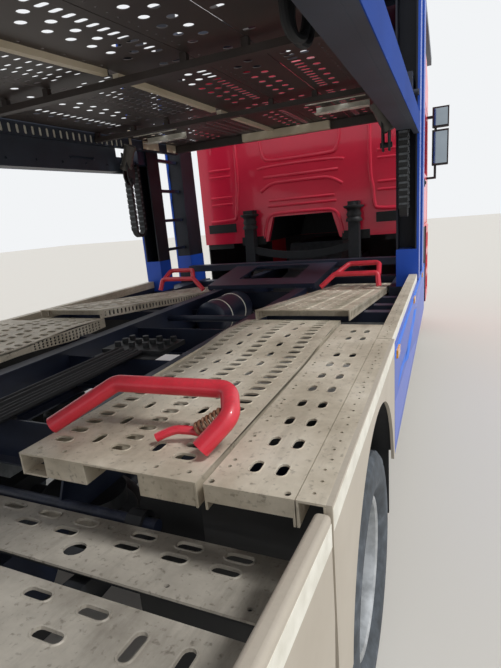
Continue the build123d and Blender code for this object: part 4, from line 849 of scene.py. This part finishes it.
rear, shelf = upper["rearU"], beam["shelf"][0]
bm, liners, railFaces = bmesh.new(), bmesh.new(), bmesh.new()
for sign in (-1, 1):
    front, low, high = upper["frontU"], beam["webLow"], beam["webHigh"]
    teeth = [(u, plateW(u) - 0.044, "slot", 90, 1.0) for u in steps(beam["teeth"])]
    punchSheet(bm, beam["web"], bentStrip(front, low, high), teeth,
               lambda u, w, t: onUpper(sign * (beam["webX"] + t), u, w))
    for mesh, w0, w1, x in ((bm, high - 0.008, high, "channelX"),
                            (bm, low, low + 0.008, "channelX"),
                            (liners, low + 0.009, high - 0.009, "liningX")):
        addPrism(mesh, bentStrip(front, w0, w1), onSide(sign, *beam[x]), onUpper)
    front = beam["boxFront"]
    addPrism(bm, bentStrip(front, *beam["shelf"]), onSide(sign, *beam["shelfX"]), onUpper)
    windows = [(u, 0.09, "slot", 0, 1.0) for u in steps(beam["windows"])]
    windows += [(u, 0.05, "hole", 0, 1.0) for u in steps(beam["holes"])]
    punchSheet(bm, beam["window"], ((front, 0.0), (rear, 0.0), (rear, shelf - rearFall),
                                    (upper["bendU"], shelf), (front, shelf)), windows,
               lambda u, w, t: onUpper(sign * (beam["floorX"][0] + t), u, w))
    addPrism(bm, rectangle(front, rear, 0.0, 0.008), onSide(sign, *beam["floorX"]), onUpper)
    for u in beam["stiffeners"]:
        addPrism(bm, rectangle(u - 0.005, u + 0.005, 0.008, 0.09),
                 onSide(sign, beam["floorX"][0], beam["railX"][0]), onUpper)
    # painted shade: the rail's body and underside are dark beam paint, and only its thin outer face
    # is blue
    inner, face, outer = beam["railX"]
    addPrism(bm, rectangle(beam["railFront"], rear, 0.001, 0.139), onSide(sign, inner, face),
             onUpper)
    addPrism(railFaces, rectangle(beam["railFront"], rear, 0.0, 0.140), onSide(sign, face, outer),
             onUpper)
finishPiece("upperDeckBeams", bm, "upper_deck", "chassis_paint", beamPaintAndRailShade,
            ("upper_deck_frame",), smooth=30)
finishPiece("beamLiners", liners, "upper_deck", "beige_paint", whiteTape)
finishPiece("upperDeckRailFaces", railFaces, "upper_deck", "blue_paint", railLacquer,
            ("upper_deck_frame",))

# Crossings: shallow bars that carry the plates on small packing blocks, and pale end panels
crossing = {"halfLong": 1.0495, "halfWide": 0.024, "low": -0.067, "top": -0.036,
            "blockX": (-1.03, -0.69, -0.4, 0.4, 0.69, 1.03), "blockHalf": (0.016, 0.014),
            "panelX": (1.0475, 1.0505), "panelW": (0.192, 0.330),
            "panelU": ((0.37, 0.40), (-0.05, 0.20), (-0.38, -0.19))}
bm = bmesh.new()
for u in upper["crossings"]:
    top = plateW(u + 0.03)
    barTop = 0.0 if u < 0 else crossing["top"]  # the front bar is as high as the plates
    reach = crossing["halfLong"]
    bars = [(-reach, reach, crossing["halfWide"], crossing["low"], barTop)]
    if u > 0:
        across, along = crossing["blockHalf"]
        bars += [(x - across, x + across, along, crossing["top"], 0.0) for x in crossing["blockX"]]
    for x0, x1, reach, w0, w1 in bars:
        addPrism(bm, rectangle(u - reach, u + reach, top + w0, top + w1), (x0, x1), onUpper)
finishPiece("upperDeckCrossings", bm, "upper_deck", "chassis_paint", deckPaintAndShade,
            ("upper_deck_crossings",))
bm = bmesh.new()
for front, rear in crossing["panelU"]:
    addPrism(bm, rectangle(front, rear, *crossing["panelW"]), crossing["panelX"], onUpper)
finishPiece("beamEndPanels", bm, "upper_deck", "beige_paint", creamStrip)

# Cream strip on the centre line and the cream front bar
cream = {"x": (-0.017, 0.017), "w": (-0.022, 0.004), "clear": 0.04, "bendClear": 0.03,
         "front": (rectangle(-0.35, -0.29, 0.190, 0.256), (-0.522, 0.290))}
bm = bmesh.new()
for front, rear in zip(upper["crossings"], upper["crossings"][1:]):
    stops = [front + cream["clear"], rear - cream["clear"]]
    if front + cream["bendClear"] < upper["bendU"] < rear - cream["bendClear"]:
        stops.insert(1, upper["bendU"])
    low, high = cream["w"]
    line = [(u, plateW(u) + low) for u in stops] + [(u, plateW(u) + high) for u in stops[::-1]]
    addPrism(bm, line, cream["x"], onUpper)
addPrism(bm, *cream["front"], onUpper)
roundEdges(finishPiece("creamStrips", bm, "upper_deck", "beige_paint", creamStrip), 0.004, 2)

# Pale slotted angles beside the front bar, each with a lip and a narrow bar in front
angleBar = {"slot": (0.050, 0.026), "hole": 0.012, "thick": 0.004, "x": (0.56, 0.948),
            "u": (0.265, 0.345), "w": 0.214, "slots": (0.60, 0.075, 5), "slotU": 0.305,
            "lip": (0.265, 0.269, 0.218, 0.2595), "bar": (0.466, 0.474, 0.249, 0.2595),
            "barX": (0.53, 0.948)}
bm = bmesh.new()
for sign in (-1, 1):
    near, far = angleBar["x"]
    marks = [(sign * x, angleBar["slotU"], "slot", 0, 1.0) for x in steps(angleBar["slots"])]
    punchSheet(bm, angleBar, rectangle(sign * near, sign * far, *angleBar["u"]), marks,
               lambda x, u, z: onUpper(x, u, angleBar["w"] + z))
    addPrism(bm, rectangle(*angleBar["lip"]), onSide(sign, near, far), onUpper)
    addPrism(bm, rectangle(*angleBar["bar"]), onSide(sign, *angleBar["barX"]), onUpper)
finishPiece("paleAngles", bm, "upper_deck", "galvanised_steel", whiteTape)

# Tilt cylinders under the deck's front, with their clevises, and hooks that hang from the deck
tilt = {"top": (1.016, -0.455, 2.345), "foot": (1.100, -0.470, 2.170), "radius": 0.046,
        "collar": 0.052, "cheekX": ((1.048, 1.060), (1.090, 1.102)), "pinX": (1.035, 1.070, 1.115),
        "pin": (-0.470, 2.075), "pinRadius": 0.018,
        "cheek": ((-0.43, 2.30), (-0.42, 2.10), (-0.45, 2.035), (-0.49, 2.035), (-0.52, 2.10),
                  (-0.52, 2.26))}
deckHook = {"radius": 0.017, "shifts": (0.0, 0.055), "spread": 0.3, "top": (0.985, 1.43, 2.372),
            "path": ((0.985, 1.44, 2.27), (0.990, 1.41, 2.215), (1.005, 1.35, 2.205),
                     (1.015, 1.30, 2.235), (1.020, 1.29, 2.30))}
bm, cylinders = bmesh.new(), bmesh.new()
for sign in (-1, 1):
    top, foot = (Vector((sign * x, y, z)) for x, y, z in (tilt["top"], tilt["foot"]))
    run = (foot - top).normalized()
    for start, end, radius in ((top, foot, tilt["radius"]),
                               (top - run * 0.004, top + run * 0.03, tilt["collar"]),
                               (foot - run * 0.03, foot + run * 0.004, tilt["collar"])):
        addTube(cylinders, [start, start.lerp(end, 0.5), end], radius, 5)
    for near, far in tilt["cheekX"]:
        addPrism(bm, tilt["cheek"], onSide(sign, near, far), inSpace)
    addTube(bm, [(sign * x, *tilt["pin"]) for x in tilt["pinX"]], tilt["pinRadius"])
    for shift in deckHook["shifts"]:
        x, y, z = deckHook["top"]
        path = ((x + deckHook["spread"] * shift, y, z), *deckHook["path"])
        addTube(bm, [(sign * x, y - shift, z) for x, y, z in path], deckHook["radius"])
finishPiece("tiltCylinders", cylinders, "upper_deck", "chassis_paint", cylinderGrey)
finishPiece("clevisesAndHooks", bm, "upper_deck", "dark_plastic", castIronAndShade)
print("upper deck dressed")

# Rear wall of the cab: a flat wall with pressed ribs, drawn as round bars sunk into it
cabWall = {
    "outline": ((-1.225, 1.40), (-0.415, 1.40), (-0.335, 1.67), (0.335, 1.67), (0.415, 1.40),
                (1.225, 1.40), (1.225, 3.06), (1.165, 3.16), (-1.165, 3.16), (-1.225, 3.06)),
    "sheet": {"slot": (0.05, 0.02), "hole": 0.01, "thick": 0.060}, "faceY": -2.020, "depth": 0.62,
    "ribs": (
        # half width of the bar, then points (x, z) of its left half
        (0.020, ((0.44, 3.02), (0.44, 2.60), (0.44, 2.40), (0.40, 2.28), (0.30, 2.27),
                 (0.0, 2.27))),
        (0.016, ((0.48, 2.19), (0.46, 2.215))),
        (0.018, ((0.42, 2.10),)),
        (0.019, ((0.46, 1.95), (0.40, 1.99), (0.32, 2.03), (0.20, 2.035))),
        (0.015, ((0.37, 1.845),)),
        (0.015, ((0.39, 1.785),)),
        (0.018, ((0.455, 1.44), (0.42, 1.62), (0.36, 1.70), (0.20, 1.705)))),
    "sideRibs": (
        (0.020, ((0.74, 2.98), (0.74, 2.40), (0.745, 1.98), (0.77, 1.90), (0.78, 1.70),
                 (0.82, 1.66), (1.12, 1.66))),
        (0.015, ((0.82, 2.235), (1.09, 2.235))), (0.015, ((0.82, 2.16), (1.09, 2.16))),
        (0.015, ((0.82, 1.93), (1.09, 1.93))), (0.015, ((0.82, 1.852), (1.09, 1.852))),
        (0.013, ((1.05, 2.42), (1.05, 2.90)))),
}
bm = bmesh.new()
punchSheet(bm, cabWall["sheet"], cabWall["outline"], [],
           lambda x, z, t: Vector((x, cabWall["faceY"] + t, z)))
ribRows = [(half, path + mirrorLine(path)) for half, path in cabWall["ribs"]]
for half, path in cabWall["sideRibs"]:
    ribRows += [(half, [(sign * x, z) for x, z in path]) for sign in (1, -1)]
for half, path in ribRows:
    addTube(bm, [(x, 0, z) for x, z in path], half,
            place=lambda x, y, z: (x, cabWall["faceY"] + y * cabWall["depth"], z))
finishPiece("cabRearWall", bm, "chassis", "cab_paint", cabLacquer, ("cab_rear_wall",), smooth=40)

# Air springs on the cab towers, as turned profiles of (height, radius)
airSpring = {"at": (0.587, -1.930), "profile": (
    (1.555, 0.0), (1.555, 0.082), (1.575, 0.086), (1.60, 0.068), (1.63, 0.078), (1.66, 0.066),
    (1.685, 0.078), (1.70, 0.105), (1.716, 0.105), (1.722, 0.06), (1.76, 0.05), (1.76, 0.0))}
bm = bmesh.new()
for sign in (-1, 1):
    x0, y0 = sign * airSpring["at"][0], airSpring["at"][1]
    spinProfile(bm, airSpring["profile"], lambda z, x, y: (x0 + x, y0 + y, z), 24, closed=False)
finishPiece("cabAirSprings", bm, "chassis", "black_rubber", hoseRubber, smooth=50, merge=0.0002)

# Painted shade: black boxes beside the tunnel stand in for the shade in recesses, and dark sheets
# line the tunnel, the space behind the bumper and the inner faces of the side panels as painted
# shade. The tunnel's sides lean in as they rise.
tunnel = {
    "foot": (1.402, 0.4135), "top": (1.6685, 0.3335), "y": (-3.335, -2.0785), "thick": 0.003,
    "recessShadeBoxes": (((0.44, 0.735), (-2.02, -2.010), (1.37, 1.465)),
                 ((0.80, 1.16), (-2.02, -2.010), (1.53, 1.63))),
    "sideShadeSheets": (((0.905, 1.235), (-3.4795, -3.4765), (0.405, 1.395)),
                    ((1.2605, 1.2625), (-1.985, 1.100), (0.624, 1.038))),
    "middleShadeSheets": (((-0.3335, 0.3335), (-3.335, -2.0785), (1.6655, 1.6685)),
                      ((-0.4100, 0.4100), (-3.3385, -3.3355), (1.402, 1.668)),
                      ((-0.895, 0.895), (-4.0995, -4.0965), (0.405, 1.395))),
}


def onTunnel(sign):
    (z0, x0), (z1, x1) = tunnel["foot"], tunnel["top"]
    return lambda x, y, z: (sign * (x0 + (x1 - x0) * (z - z0) / (z1 - z0) - x), y, z)


# painted shade: black boxes for the recesses, and dark sheets in the tunnel, behind the bumper and
# inside the side panels
bm, shadeSheets = bmesh.new(), bmesh.new()
for sign in (-1, 1):
    addBoxes(bm, sign, tunnel["recessShadeBoxes"])
    addBox(shadeSheets, (0.0, tunnel["thick"]), tunnel["y"], (tunnel["foot"][0], tunnel["top"][0]),
           onTunnel(sign))
    addBoxes(shadeSheets, sign, tunnel["sideShadeSheets"])
addBoxes(shadeSheets, 1, tunnel["middleShadeSheets"])
roundEdges(finishPiece("cabRecessShades", bm, "chassis", "dark_plastic", blackMoulding), 0.004, 2)
finishPiece("paintedShadeSheets", shadeSheets, "chassis", "dark_plastic", blackMoulding)
print("cab wall pressed")

# Wheels: tyres with tread blocks, and rims with a dished disc, hand holes and hub. Sections are
# (distance from the tyre's middle, radius), and the tread's grooves are 12 mm deep.
wheel = {"segments": 112, "hubSegments": 48, "discHole": 0.0985, "discThick": 0.012,
         "blankRadius": 0.241, "blankPoints": 64, "flatRadius": 0.188, "dishWidth": 0.053,
         "foldStep": 0.0201, "folds": 11, "shoulder": (7, 8, 9), "shoulderStep": 0.008,
         "handHoles": 8, "handRing": 0.163,
         "handSlot": (0.052, 0.034), "nuts": 10, "nutRing": 0.128, "nut": (0.016, 0.026, 0.020)}
tyreHalf = ((0.093, 0.2508), (0.093, 0.262), (0.113, 0.285), (0.128, 0.318), (0.132, 0.350),
            (0.127, 0.378), (0.122, 0.393), (0.121, 0.404), (0.106, 0.421), (0.068, 0.4225),
            (0.066, 0.411), (0.058, 0.411), (0.056, 0.423), (0.024, 0.4245), (0.022, 0.412),
            (0.014, 0.412), (0.012, 0.425))
tyreSection = tyreHalf + mirrorLine(tyreHalf)
rimSeat = ((0.103, 0.262), (0.099, 0.2625), (0.095, 0.259), (0.093, 0.250), (0.063, 0.2485))
rimInside = ((0.073, 0.240), (0.097, 0.243), (0.104, 0.252))
rimSection = rimSeat + mirrorLine(rimSeat) + mirrorLine(rimInside) + rimInside
wheelRows = (
    {"body": "rear_wheels", "end": "Rear", "axle": (1.610, 0.425), "middles": (1.1275, 0.8325),
     "disc": 0.980, "hub": (-0.070, 0.134), "nutSeat": 0.014, "nodes": ("rear_tyres", "rear_rims")},
    {"body": "front_wheel", "end": "Front", "axle": (-2.900, 0.425), "middles": (1.040,),
     "disc": 1.1875, "hub": (-0.103, 0.047), "nutSeat": 0.002,
     "nodes": ("front_tyre", "front_rim")})


def shoulderBlock(i, k, radius):
    # The shoulder's points step down every fourth segment, as the blocks of a worn drive tyre
    onShoulder = min(i, len(tyreSection) - 1 - i) in wheel["shoulder"]
    return radius - wheel["shoulderStep"] if onShoulder and k % 4 == 0 else radius


def discPlace(axle, way, near, disc):
    # The flat punched blank drawn into its dish: level in the middle, then an S to the rim
    thick = wheel["discThick"]

    def place(u, v, t):
        rise = min(1, max(0, (math.hypot(u, v) - wheel["flatRadius"]) / wheel["dishWidth"]))
        blend = rise * rise * (3 - 2 * rise)
        x = disc + (near + way * thick - disc) * blend + way * (t + thick)
        return Vector((x, axle[0] + u, axle[1] + v))
    return place


def makeRim(bm, axle, centre, disc):
    # near is the rim's edge on the disc's side
    way = 1 if centre > disc else -1
    near = centre - way * rimSeat[0][0]
    spinProfile(bm, rimSection, lambda x, y, z: (centre + way * x, axle[0] + y, axle[1] + z),
                wheel["segments"])
    cuts = [(u, v, "slot", 90 + 360 * k / wheel["handHoles"], 1.0)
            for k, (u, v) in enumerate(ringPoints(wheel["handRing"], wheel["handHoles"]))]
    cuts.append((0.0, 0.0, "hole", 0, 1.0))
    sheet = {"slot": wheel["handSlot"], "hole": wheel["discHole"], "thick": wheel["discThick"]}
    bends = [(axis, k * wheel["foldStep"]) for axis in ("x", "y")
             for k in range(-wheel["folds"], wheel["folds"] + 1)]
    punchSheet(bm, sheet, ringPoints(wheel["blankRadius"], wheel["blankPoints"]), cuts,
               discPlace(axle, way, near, disc), bends)


for name, sign in sides:
    for row in wheelRows:
        (y0, z0), disc, (back, out) = row["axle"], row["disc"], row["hub"]
        end, body, nodes = row["end"], f"{row['body']}_{name.lower()}", [
            f"{node}_{name.lower()}" for node in row["nodes"]]
        bm, rims = bmesh.new(), bmesh.new()
        for middle in row["middles"]:
            spinProfile(bm, tyreSection, lambda x, y, z: (sign * middle + x, y0 + y, z0 + z),
                        wheel["segments"], shoulderBlock)
            makeRim(rims, row["axle"], sign * middle, sign * disc)
        # hub: a turned drum with its cap
        hub = ((back, 0.047), (back, 0.096), (0.0, 0.098), (out * 0.5, 0.098),
               (out - 0.016, 0.088), (out - 0.012, 0.080), (out - 0.002, 0.070), (out, 0.0),
               (out - 0.014, 0.0), (out - 0.014, 0.047))
        spinProfile(rims, hub, lambda x, y, z: (sign * (disc + x), y0 + y, z0 + z),
                    wheel["hubSegments"])
        finishPiece(f"tyres{end}{name}", bm, body, "tyre_rubber", dustyTyre, nodes[:1], smooth=28)
        finishPiece(f"rims{end}{name}", rims, body, "wheel_silver", wheelSilver, nodes[1:],
                    smooth=32, merge=0.00002)
        nuts = [(sign * (disc + row["nutSeat"]), y0 + y, z0 + z, (float(sign), 0.0, 0.0))
                for y, z in ringPoints(wheel["nutRing"], wheel["nuts"])]
        boltHeads(f"wheelNuts{end}{name}", body, "wheel_silver", rustySteel, wheel["nut"], nuts)
print("wheels turned")

# Stripes and tapes on the blue side panels and under the deck's edge, as thin films in (y, z)
panelX, edgeX = (1.2747, 1.2754), (1.2635, 1.2646)
filmRows = (
    # piece, slot, finish, and its shapes with their x
    ("azureStripes", "blue_paint", azureFilm, (
        (panelX, rectangle(1.100, -1.98, 1.046, 1.084)),
        (panelX, ((0.963, 0.874), (0.813, 0.918), (0.313, 0.876), (0.60, 0.868))),
        (panelX, ((0.30, 0.80), (0.60, 0.868), (-0.25, 0.97), (-0.55, 0.92))))),
    ("lilacStripes", "blue_paint", lilacFilm, (
        (panelX, ((1.100, 0.66), (1.100, 0.86), (0.20, 0.80), (-0.60, 0.66))),
        (panelX, ((-0.62, 0.92), (-0.28, 0.98), (-1.50, 1.02), (-1.70, 0.96))))),
    ("sideTapes", "beige_paint", whiteTape, (
        (edgeX, rectangle(-0.795, 1.106, 1.090, 1.137)),
        ((1.2745, 1.2756), rectangle(1.112, 2.246, 1.086, 1.133)))))
for name, slotName, film, shapes in filmRows:
    bm = bmesh.new()
    for sign in (-1, 1):
        for x, shape in shapes:
            addPrism(bm, shape, onSide(sign, *x), inSpace)
    finishPiece(name, bm, "chassis", slotName, film)

# Blue feet of the lift posts
postFeet = [((1.106, 1.2585), y, (1.042, 1.335)) for y in ((-1.001, -0.809), (-1.698, -1.402))]
bm = bmesh.new()
for sign in (-1, 1):
    addBoxes(bm, sign, postFeet)
finishPiece("postFeet", bm, "chassis", "blue_paint", bodyLacquer)
print("sides striped")

# Wipers parked along the foot of the windscreen: an arm, a blade and a pivot each
wiper = {"x": (-0.72, 0.02), "screen": (-4.1575, 2.360), "lean": (0.1664, 0.9861),
         "lift": 0.004, "pivot": ((0.40, 0.44), (-0.375, -0.335), (-0.012, 0.018)), "bars": (
             (((0.42, -0.352), (0.20, -0.335), (0.0, -0.305)), 0.009),
             (((-0.30, -0.318), (0.0, -0.300), (0.33, -0.292)), 0.007))}


def onScreen(x, v, w):
    # v runs up the screen, which leans back, and w stands out of it
    (y0, z0), (back, up) = wiper["screen"], wiper["lean"]
    return Vector((x, y0 + back * v - up * w, z0 + up * v + back * w))


bm = bmesh.new()
for x in wiper["x"]:
    for path, radius in wiper["bars"]:
        addTube(bm, [onScreen(x + dx, v, wiper["lift"]) for dx, v in path], radius)
    across, *rest = wiper["pivot"]
    addBox(bm, [x + dx for dx in across], *rest, onScreen)
finishPiece("wipers", bm, "chassis", "dark_plastic", blackMoulding)

# Mirror glass and door handles
doorParts = {
    "glass": (((1.302, 1.466), (-3.7452, -3.7420), (2.630, 2.832)),
              ((1.302, 1.466), (-3.7452, -3.7420), (2.172, 2.558))),
    "handle": (((1.2225, 1.2420), (-3.19, -3.05), (1.90, 1.935)),
               ((1.2225, 1.2300), (-3.22, -3.02), (1.875, 1.96)))}
for name, sign in sides:
    door = f"door_{name.lower()}"
    bm, grips = bmesh.new(), bmesh.new()
    addBoxes(bm, sign, doorParts["glass"])
    addBoxes(grips, sign, doorParts["handle"])
    roundEdges(finishPiece(f"mirrorGlass{name}", bm, door, "dark_plastic", mirrorGlass), 0.0014, 2)
    roundEdges(finishPiece(f"doorHandle{name}", grips, door, "dark_plastic", blackMoulding),
               0.006, 3)

# Cable carrier links: a wide and a narrow plate for every link
carrier = {"y": (-0.7125, -0.5875), "z": (1.670, 0.048, 12), "plates": (
    # x, reach along y, height from the link's middle
    ((1.1445, 1.2105), 0.011, (-0.022, -0.004)), ((1.148, 1.207), 0.018, (0.002, 0.016)))}
links = [(x, (y - reach, y + reach), (z + low, z + high)) for y in carrier["y"]
         for z in steps(carrier["z"]) for x, reach, (low, high) in carrier["plates"]]
bm = bmesh.new()
for sign in (-1, 1):
    addBoxes(bm, sign, links)
finishPiece("carrierLinks", bm, "deck_carriage", "dark_plastic", carrierPlastic)

# Bands round the air tank
band = {"y": (-0.47, -0.21), "axis": (0.215, 0.930), "radius": 0.1365, "wire": 0.006, "points": 16}
bm = bmesh.new()
for y in band["y"]:
    hoop = [(band["axis"][0] + x, y, band["axis"][1] + z)
            for x, z in ringPoints(band["radius"], band["points"])]
    addTube(bm, hoop + hoop[:1], band["wire"])
finishPiece("tankBands", bm, "chassis", "galvanised_steel", whiteTape)

# Hook and spring coil of the near wheel chock
chock = {"hook": ((-0.815, 2.128, 1.160), (-0.850, 2.108, 1.176), (-0.880, 2.095, 1.172),
                  (-0.905, 2.085, 1.166), (-0.935, 2.080, 1.160)), "hookRadius": 0.011,
         "spring": ((-0.922, 2.104, 1.180), (-0.990, 2.090, 1.223)), "turns": 7,
         "turnPoints": 12, "coilRadius": 0.0175, "wireRadius": 0.0044}
bm, coil = bmesh.new(), bmesh.new()
addTube(bm, chock["hook"], chock["hookRadius"])
start, end = (Vector(point) for point in chock["spring"])
lean = (end - start).to_track_quat("Z", "Y")
turnRing = ringPoints(chock["coilRadius"], chock["turnPoints"])
last = chock["turns"] * chock["turnPoints"]
addTube(coil, [start.lerp(end, k / last) + lean @ Vector((*turnRing[k % len(turnRing)], 0))
               for k in range(last + 1)], chock["wireRadius"], 2)
finishPiece("chockHook", bm, "chassis", "red_paint", chockEnamel)
finishPiece("chockSpring", coil, "chassis", "bright_steel", rustySteel)

# Bolts on the inner faces of the chassis rails
railBolt = {"x": 0.4255, "y": (-0.60, -0.10, 0.30, 0.98, 1.98), "z": (0.99, 1.03),
            "head": (0.012, 0.010, 0.017)}
rows = [(sign * railBolt["x"], y, z, (float(sign), 0.0, 0.0)) for sign in (-1, 1)
        for y in railBolt["y"] for z in railBolt["z"]]
boltHeads("frameBolts", "chassis", "bright_steel", rustySteel, railBolt["head"], rows)
print("small parts placed")

# Floor and light: a pale plain floor, a soft high lamp and an even pale sky
light = {"floor": "#CFCBC3", "reach": 60, "sky": "#F2F4F6", "soft": "#F4F6FA", "softStrength": 0.78,
         "lamp": 1.8, "lampAngle": 12, "lampTurn": (36, 0, -98)}
floorMesh = bpy.data.meshes.new("floor")
floorMesh.from_pydata([(light["reach"] * x, light["reach"] * y, 0) for x, y in
                       ((-1, -1), (1, -1), (1, 1), (-1, 1))], [], [(0, 1, 2, 3)])
floor = bpy.data.objects.new("floor", floorMesh)
bpy.context.collection.objects.link(floor)
floorFinish, tree, where = startMaterial("paleFloor")
closeMaterial(tree, {"Roughness": 0.9, "Base Color": hexLinear(light["floor"])})
floorMesh.materials.append(floorFinish)

world = bpy.data.worlds.new("softSky")
bpy.context.scene.world = world
world.use_nodes = True
tree = world.node_tree
tree.nodes.clear()
rays = addNode(tree, "ShaderNodeLightPath").outputs
seen = addNode(tree, "ShaderNodeMath", {"operation": "MAXIMUM"}, {
    0: rays["Is Camera Ray"], 1: rays["Is Glossy Ray"]})
shown = addNode(tree, "ShaderNodeMath", {"operation": "MAXIMUM"}, {
    0: seen, 1: rays["Is Transmission Ray"]})
pale = addNode(tree, "ShaderNodeBackground", {"Color": hexLinear(light["sky"]), "Strength": 1.0})
soft = addNode(tree, "ShaderNodeBackground", {
    "Color": hexLinear(light["soft"]), "Strength": light["softStrength"]})
mixed = addNode(tree, "ShaderNodeMixShader", links={0: shown, 1: soft, 2: pale})
addNode(tree, "ShaderNodeOutputWorld", links={"Surface": mixed})

sun = bpy.data.objects.new("highLamp", bpy.data.lights.new("highLamp", "SUN"))
sun.data.energy = light["lamp"]
sun.data.angle = math.radians(light["lampAngle"])
sun.rotation_euler = tuple(math.radians(a) for a in light["lampTurn"])
bpy.context.collection.objects.link(sun)

# Materials for the CAD nodes that stay, by the material slot of each in the record
bySlot = {
    "chassis_paint": frameEnamel, "cab_paint": cabLacquer, "blue_paint": bodyLacquer,
    "beige_paint": panelLacquer, "red_paint": chockEnamel, "galvanised_steel": tailZinc,
    "engine_casting": engineCast, "axle_iron": castIronAndShade, "window_glass": tintedGlass,
    "dark_plastic": blackMoulding, "seat_fabric": seatCloth, "lamp_glass": clearLens,
    "tank_alloy": tankAlloy, "black_rubber": hoseRubber, "bright_steel": brightSteel,
    "red_lens": redLens, "amber_lens": amberLens, "tyre_rubber": dustyTyre,
    "wheel_silver": wheelSilver,
}
# the tail deck's galvanised frame takes black cast iron as painted shade, so that it looks dark
# through the tail plates' slots
byNode = {"lift_posts": postEnamel, "cab_mounts": castIronAndShade, "rear_posts": postEnamel,
          "tail_deck_frame": castIronAndShade}
for part in frame["record"]["subparts"]:
    mesh = frame["nodes"][part["node"]].data
    mesh.materials.clear()
    mesh.materials.append(byNode.get(part["node"], bySlot[part["material_slot"]]))

bpy.context.scene.view_settings.view_transform = "Standard"
